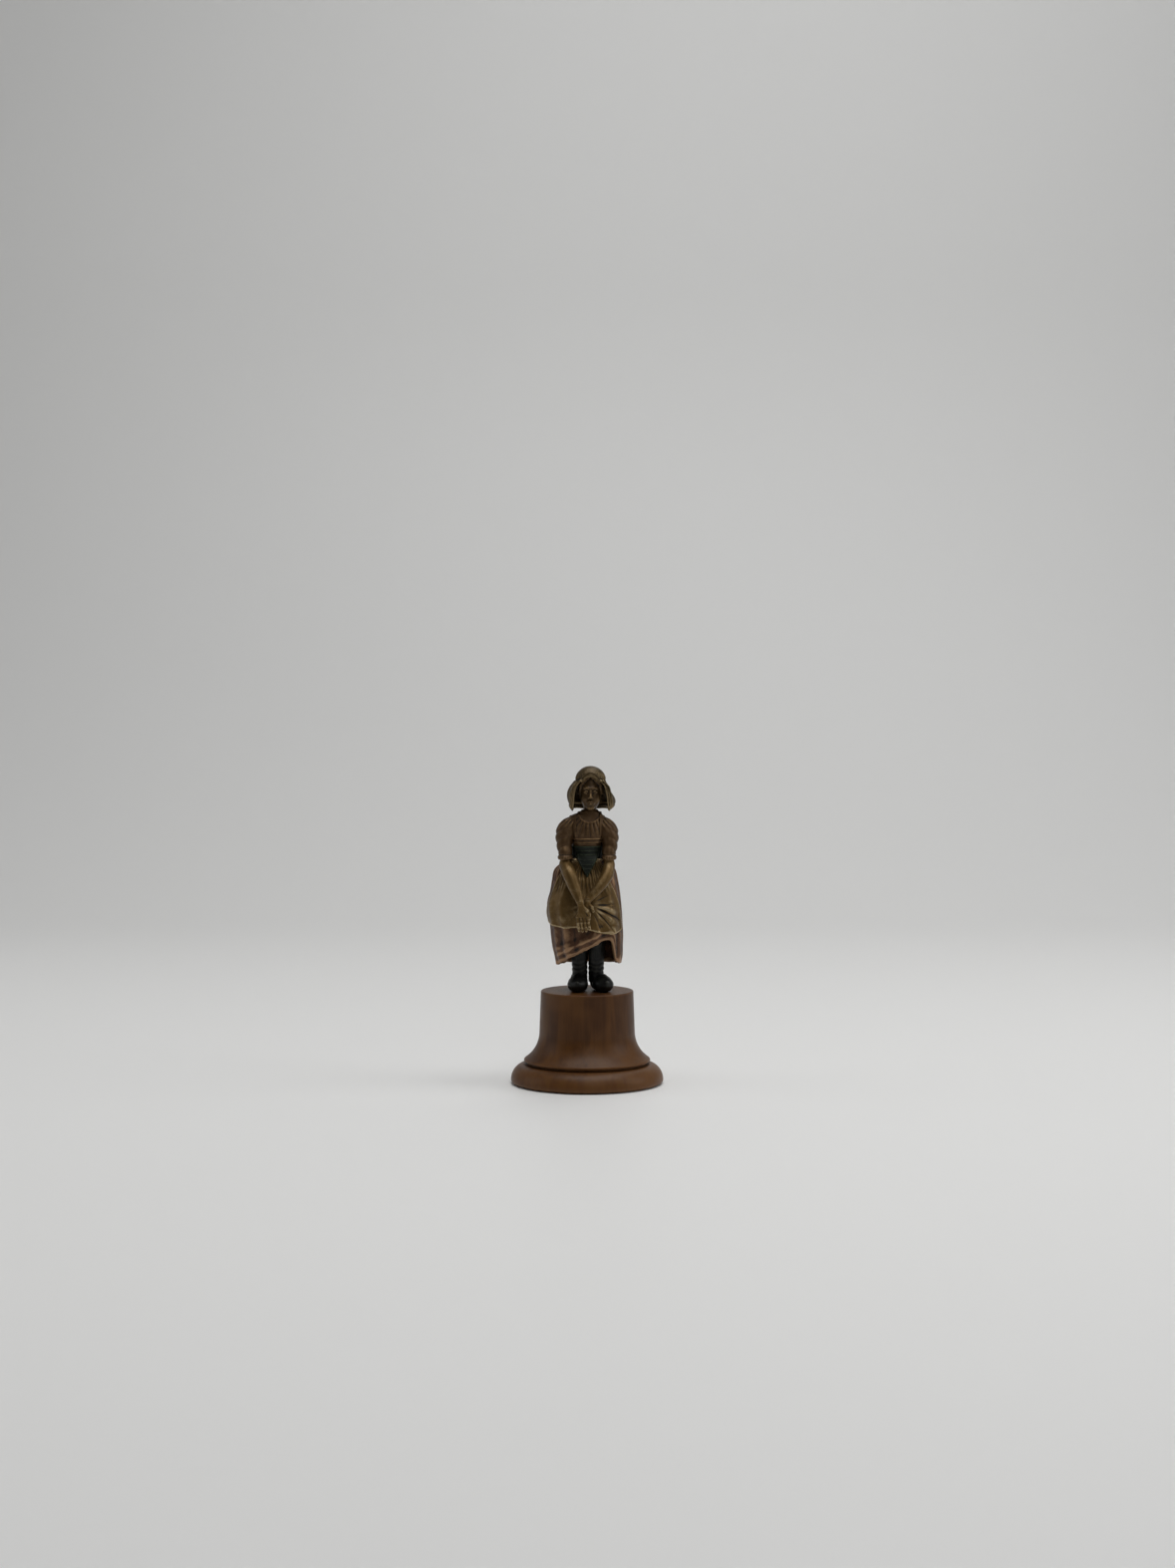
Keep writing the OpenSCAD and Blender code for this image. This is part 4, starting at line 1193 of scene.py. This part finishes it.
def makeClog(name, node, x, turn):
    y = feet["y"]
    clay = Clay((x - 4.6, y - 9.2, -0.3), (x + 5.4, y + 7.6, 6.8), feet["cell"])
    # the clog is modelled straight, and turned about the ankle
    c, s = math.cos(math.radians(turn)), math.sin(math.radians(turn))
    pivot = feet["pivot"]
    dx, dy = clay.x - x, clay.y - y - pivot
    clay.x, clay.y = x + c * dx + s * dy, y + pivot - s * dx + c * dy
    clay.add(clay.ball((x, y - 3.2, 2.5), (3.6, 4.7, 2.8)))
    clay.add(clay.ball((x, y + 2.8, 2.8), (3.1, 3.4, 3.1)), 1.2)
    clay.add(clay.rod((x, y - 3, 2.7), (x, y + 3, 2.9), 2.8, 2.8), 0.8)
    clay.add(clay.limb([(x, y - 5.6, 2.2), (x + 0.1, y - 7.2, 2.9), (x + 0.15, y - 7.9, 3.7)],
                       [1.9, 1.0, 0.45], 0.5), 0.9)
    clay.cut(clay.rod((x - 5, y + 0.9, -0.4), (x + 5, y + 0.9, -0.4), 0.95, 0.95), 0.3)
    rim = clay.ball((x, y + 2.1, 6.2), (2.7, 3.5, 2.4))
    clay.lift(0.34 * hump(rim, 0.42) * smooth((clay.z - 3.6) / 1))
    clay.cut(rim, 0.2)
    instep = np.abs(clay.y - y + 2.5)
    clay.lift(0.16 * hump(instep, 0.35) * smooth((clay.z - 3.4) / 0.8) - 0.1 * hump(instep - 0.6, 0.2))
    clay.cut(clay.z - 0.02, 0.12)
    bronzePiece(clay.piece(name, finishes["black"]), "black", node)


def makeLeg(name, node, x, topX):
    y = feet["y"] + 1.6
    path = [(x, y, 3.4), (mix(x, topX, 0.1), 0.3, 11), (mix(x, topX, 0.4), 0.4, 18),
            (mix(x, topX, 0.8), 0.3, 27), (topX, 0, 36.2)]
    clay = Clay((min(x, topX) - 3.9, -3.9, 2.9), (max(x, topX) + 3.9, 4.4, 39.6), feet["legCell"])
    t = np.linspace(0, 1, 15)
    clay.add(clay.limb(curveAt(path, t), curveAt(feet["legRadii"], t), 0))
    around = np.arctan2(clay.y - y, clay.x - x)
    phase = clay.z + 0.7 * np.sin(around + x) + 0.3 * np.sin(3 * around)
    wrinkles = 0.26 * (ridges(2 * np.pi * phase / 1.7) - 0.6) * hump(clay.z - 7.6, 2.6)
    ribs = 0.06 * np.cos(26 * around) * smooth((clay.z - 9) / 3)
    clay.lift(wrinkles + ribs)
    bronzePiece(clay.piece(name, finishes["black"]), "black", node)


print("base")
makeBase()
makeFelt()
for nodeName, finishName in hiddenNodes.items():
    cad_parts[nodeName].data.materials.clear()
    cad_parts[nodeName].data.materials.append(finishes[finishName])
print("skirt and apron")
makeSkirt()
makeApron()
print("body")
makeTorso()
makeBodice()
makeChestBand()
makeSleeve("rightSleevePuff", "right_sleeve", -1)
makeSleeve("leftSleevePuff", "left_sleeve", 1)
print("arms")
makeArm("rightArmHand", "right_arm", arms["right"])
makeArm("leftArmHand", "left_arm", arms["left"])
print("head and bonnet")
makeHead()
makeBonnet()
print("feet")
for sideName in ("right", "left"):
    foot = feet[sideName]
    makeClog(sideName + "Clog", sideName + "_clog", foot["clog"], foot["turn"])
    makeLeg(sideName + "Stocking", sideName + "_leg", foot["ankle"], foot["hip"])
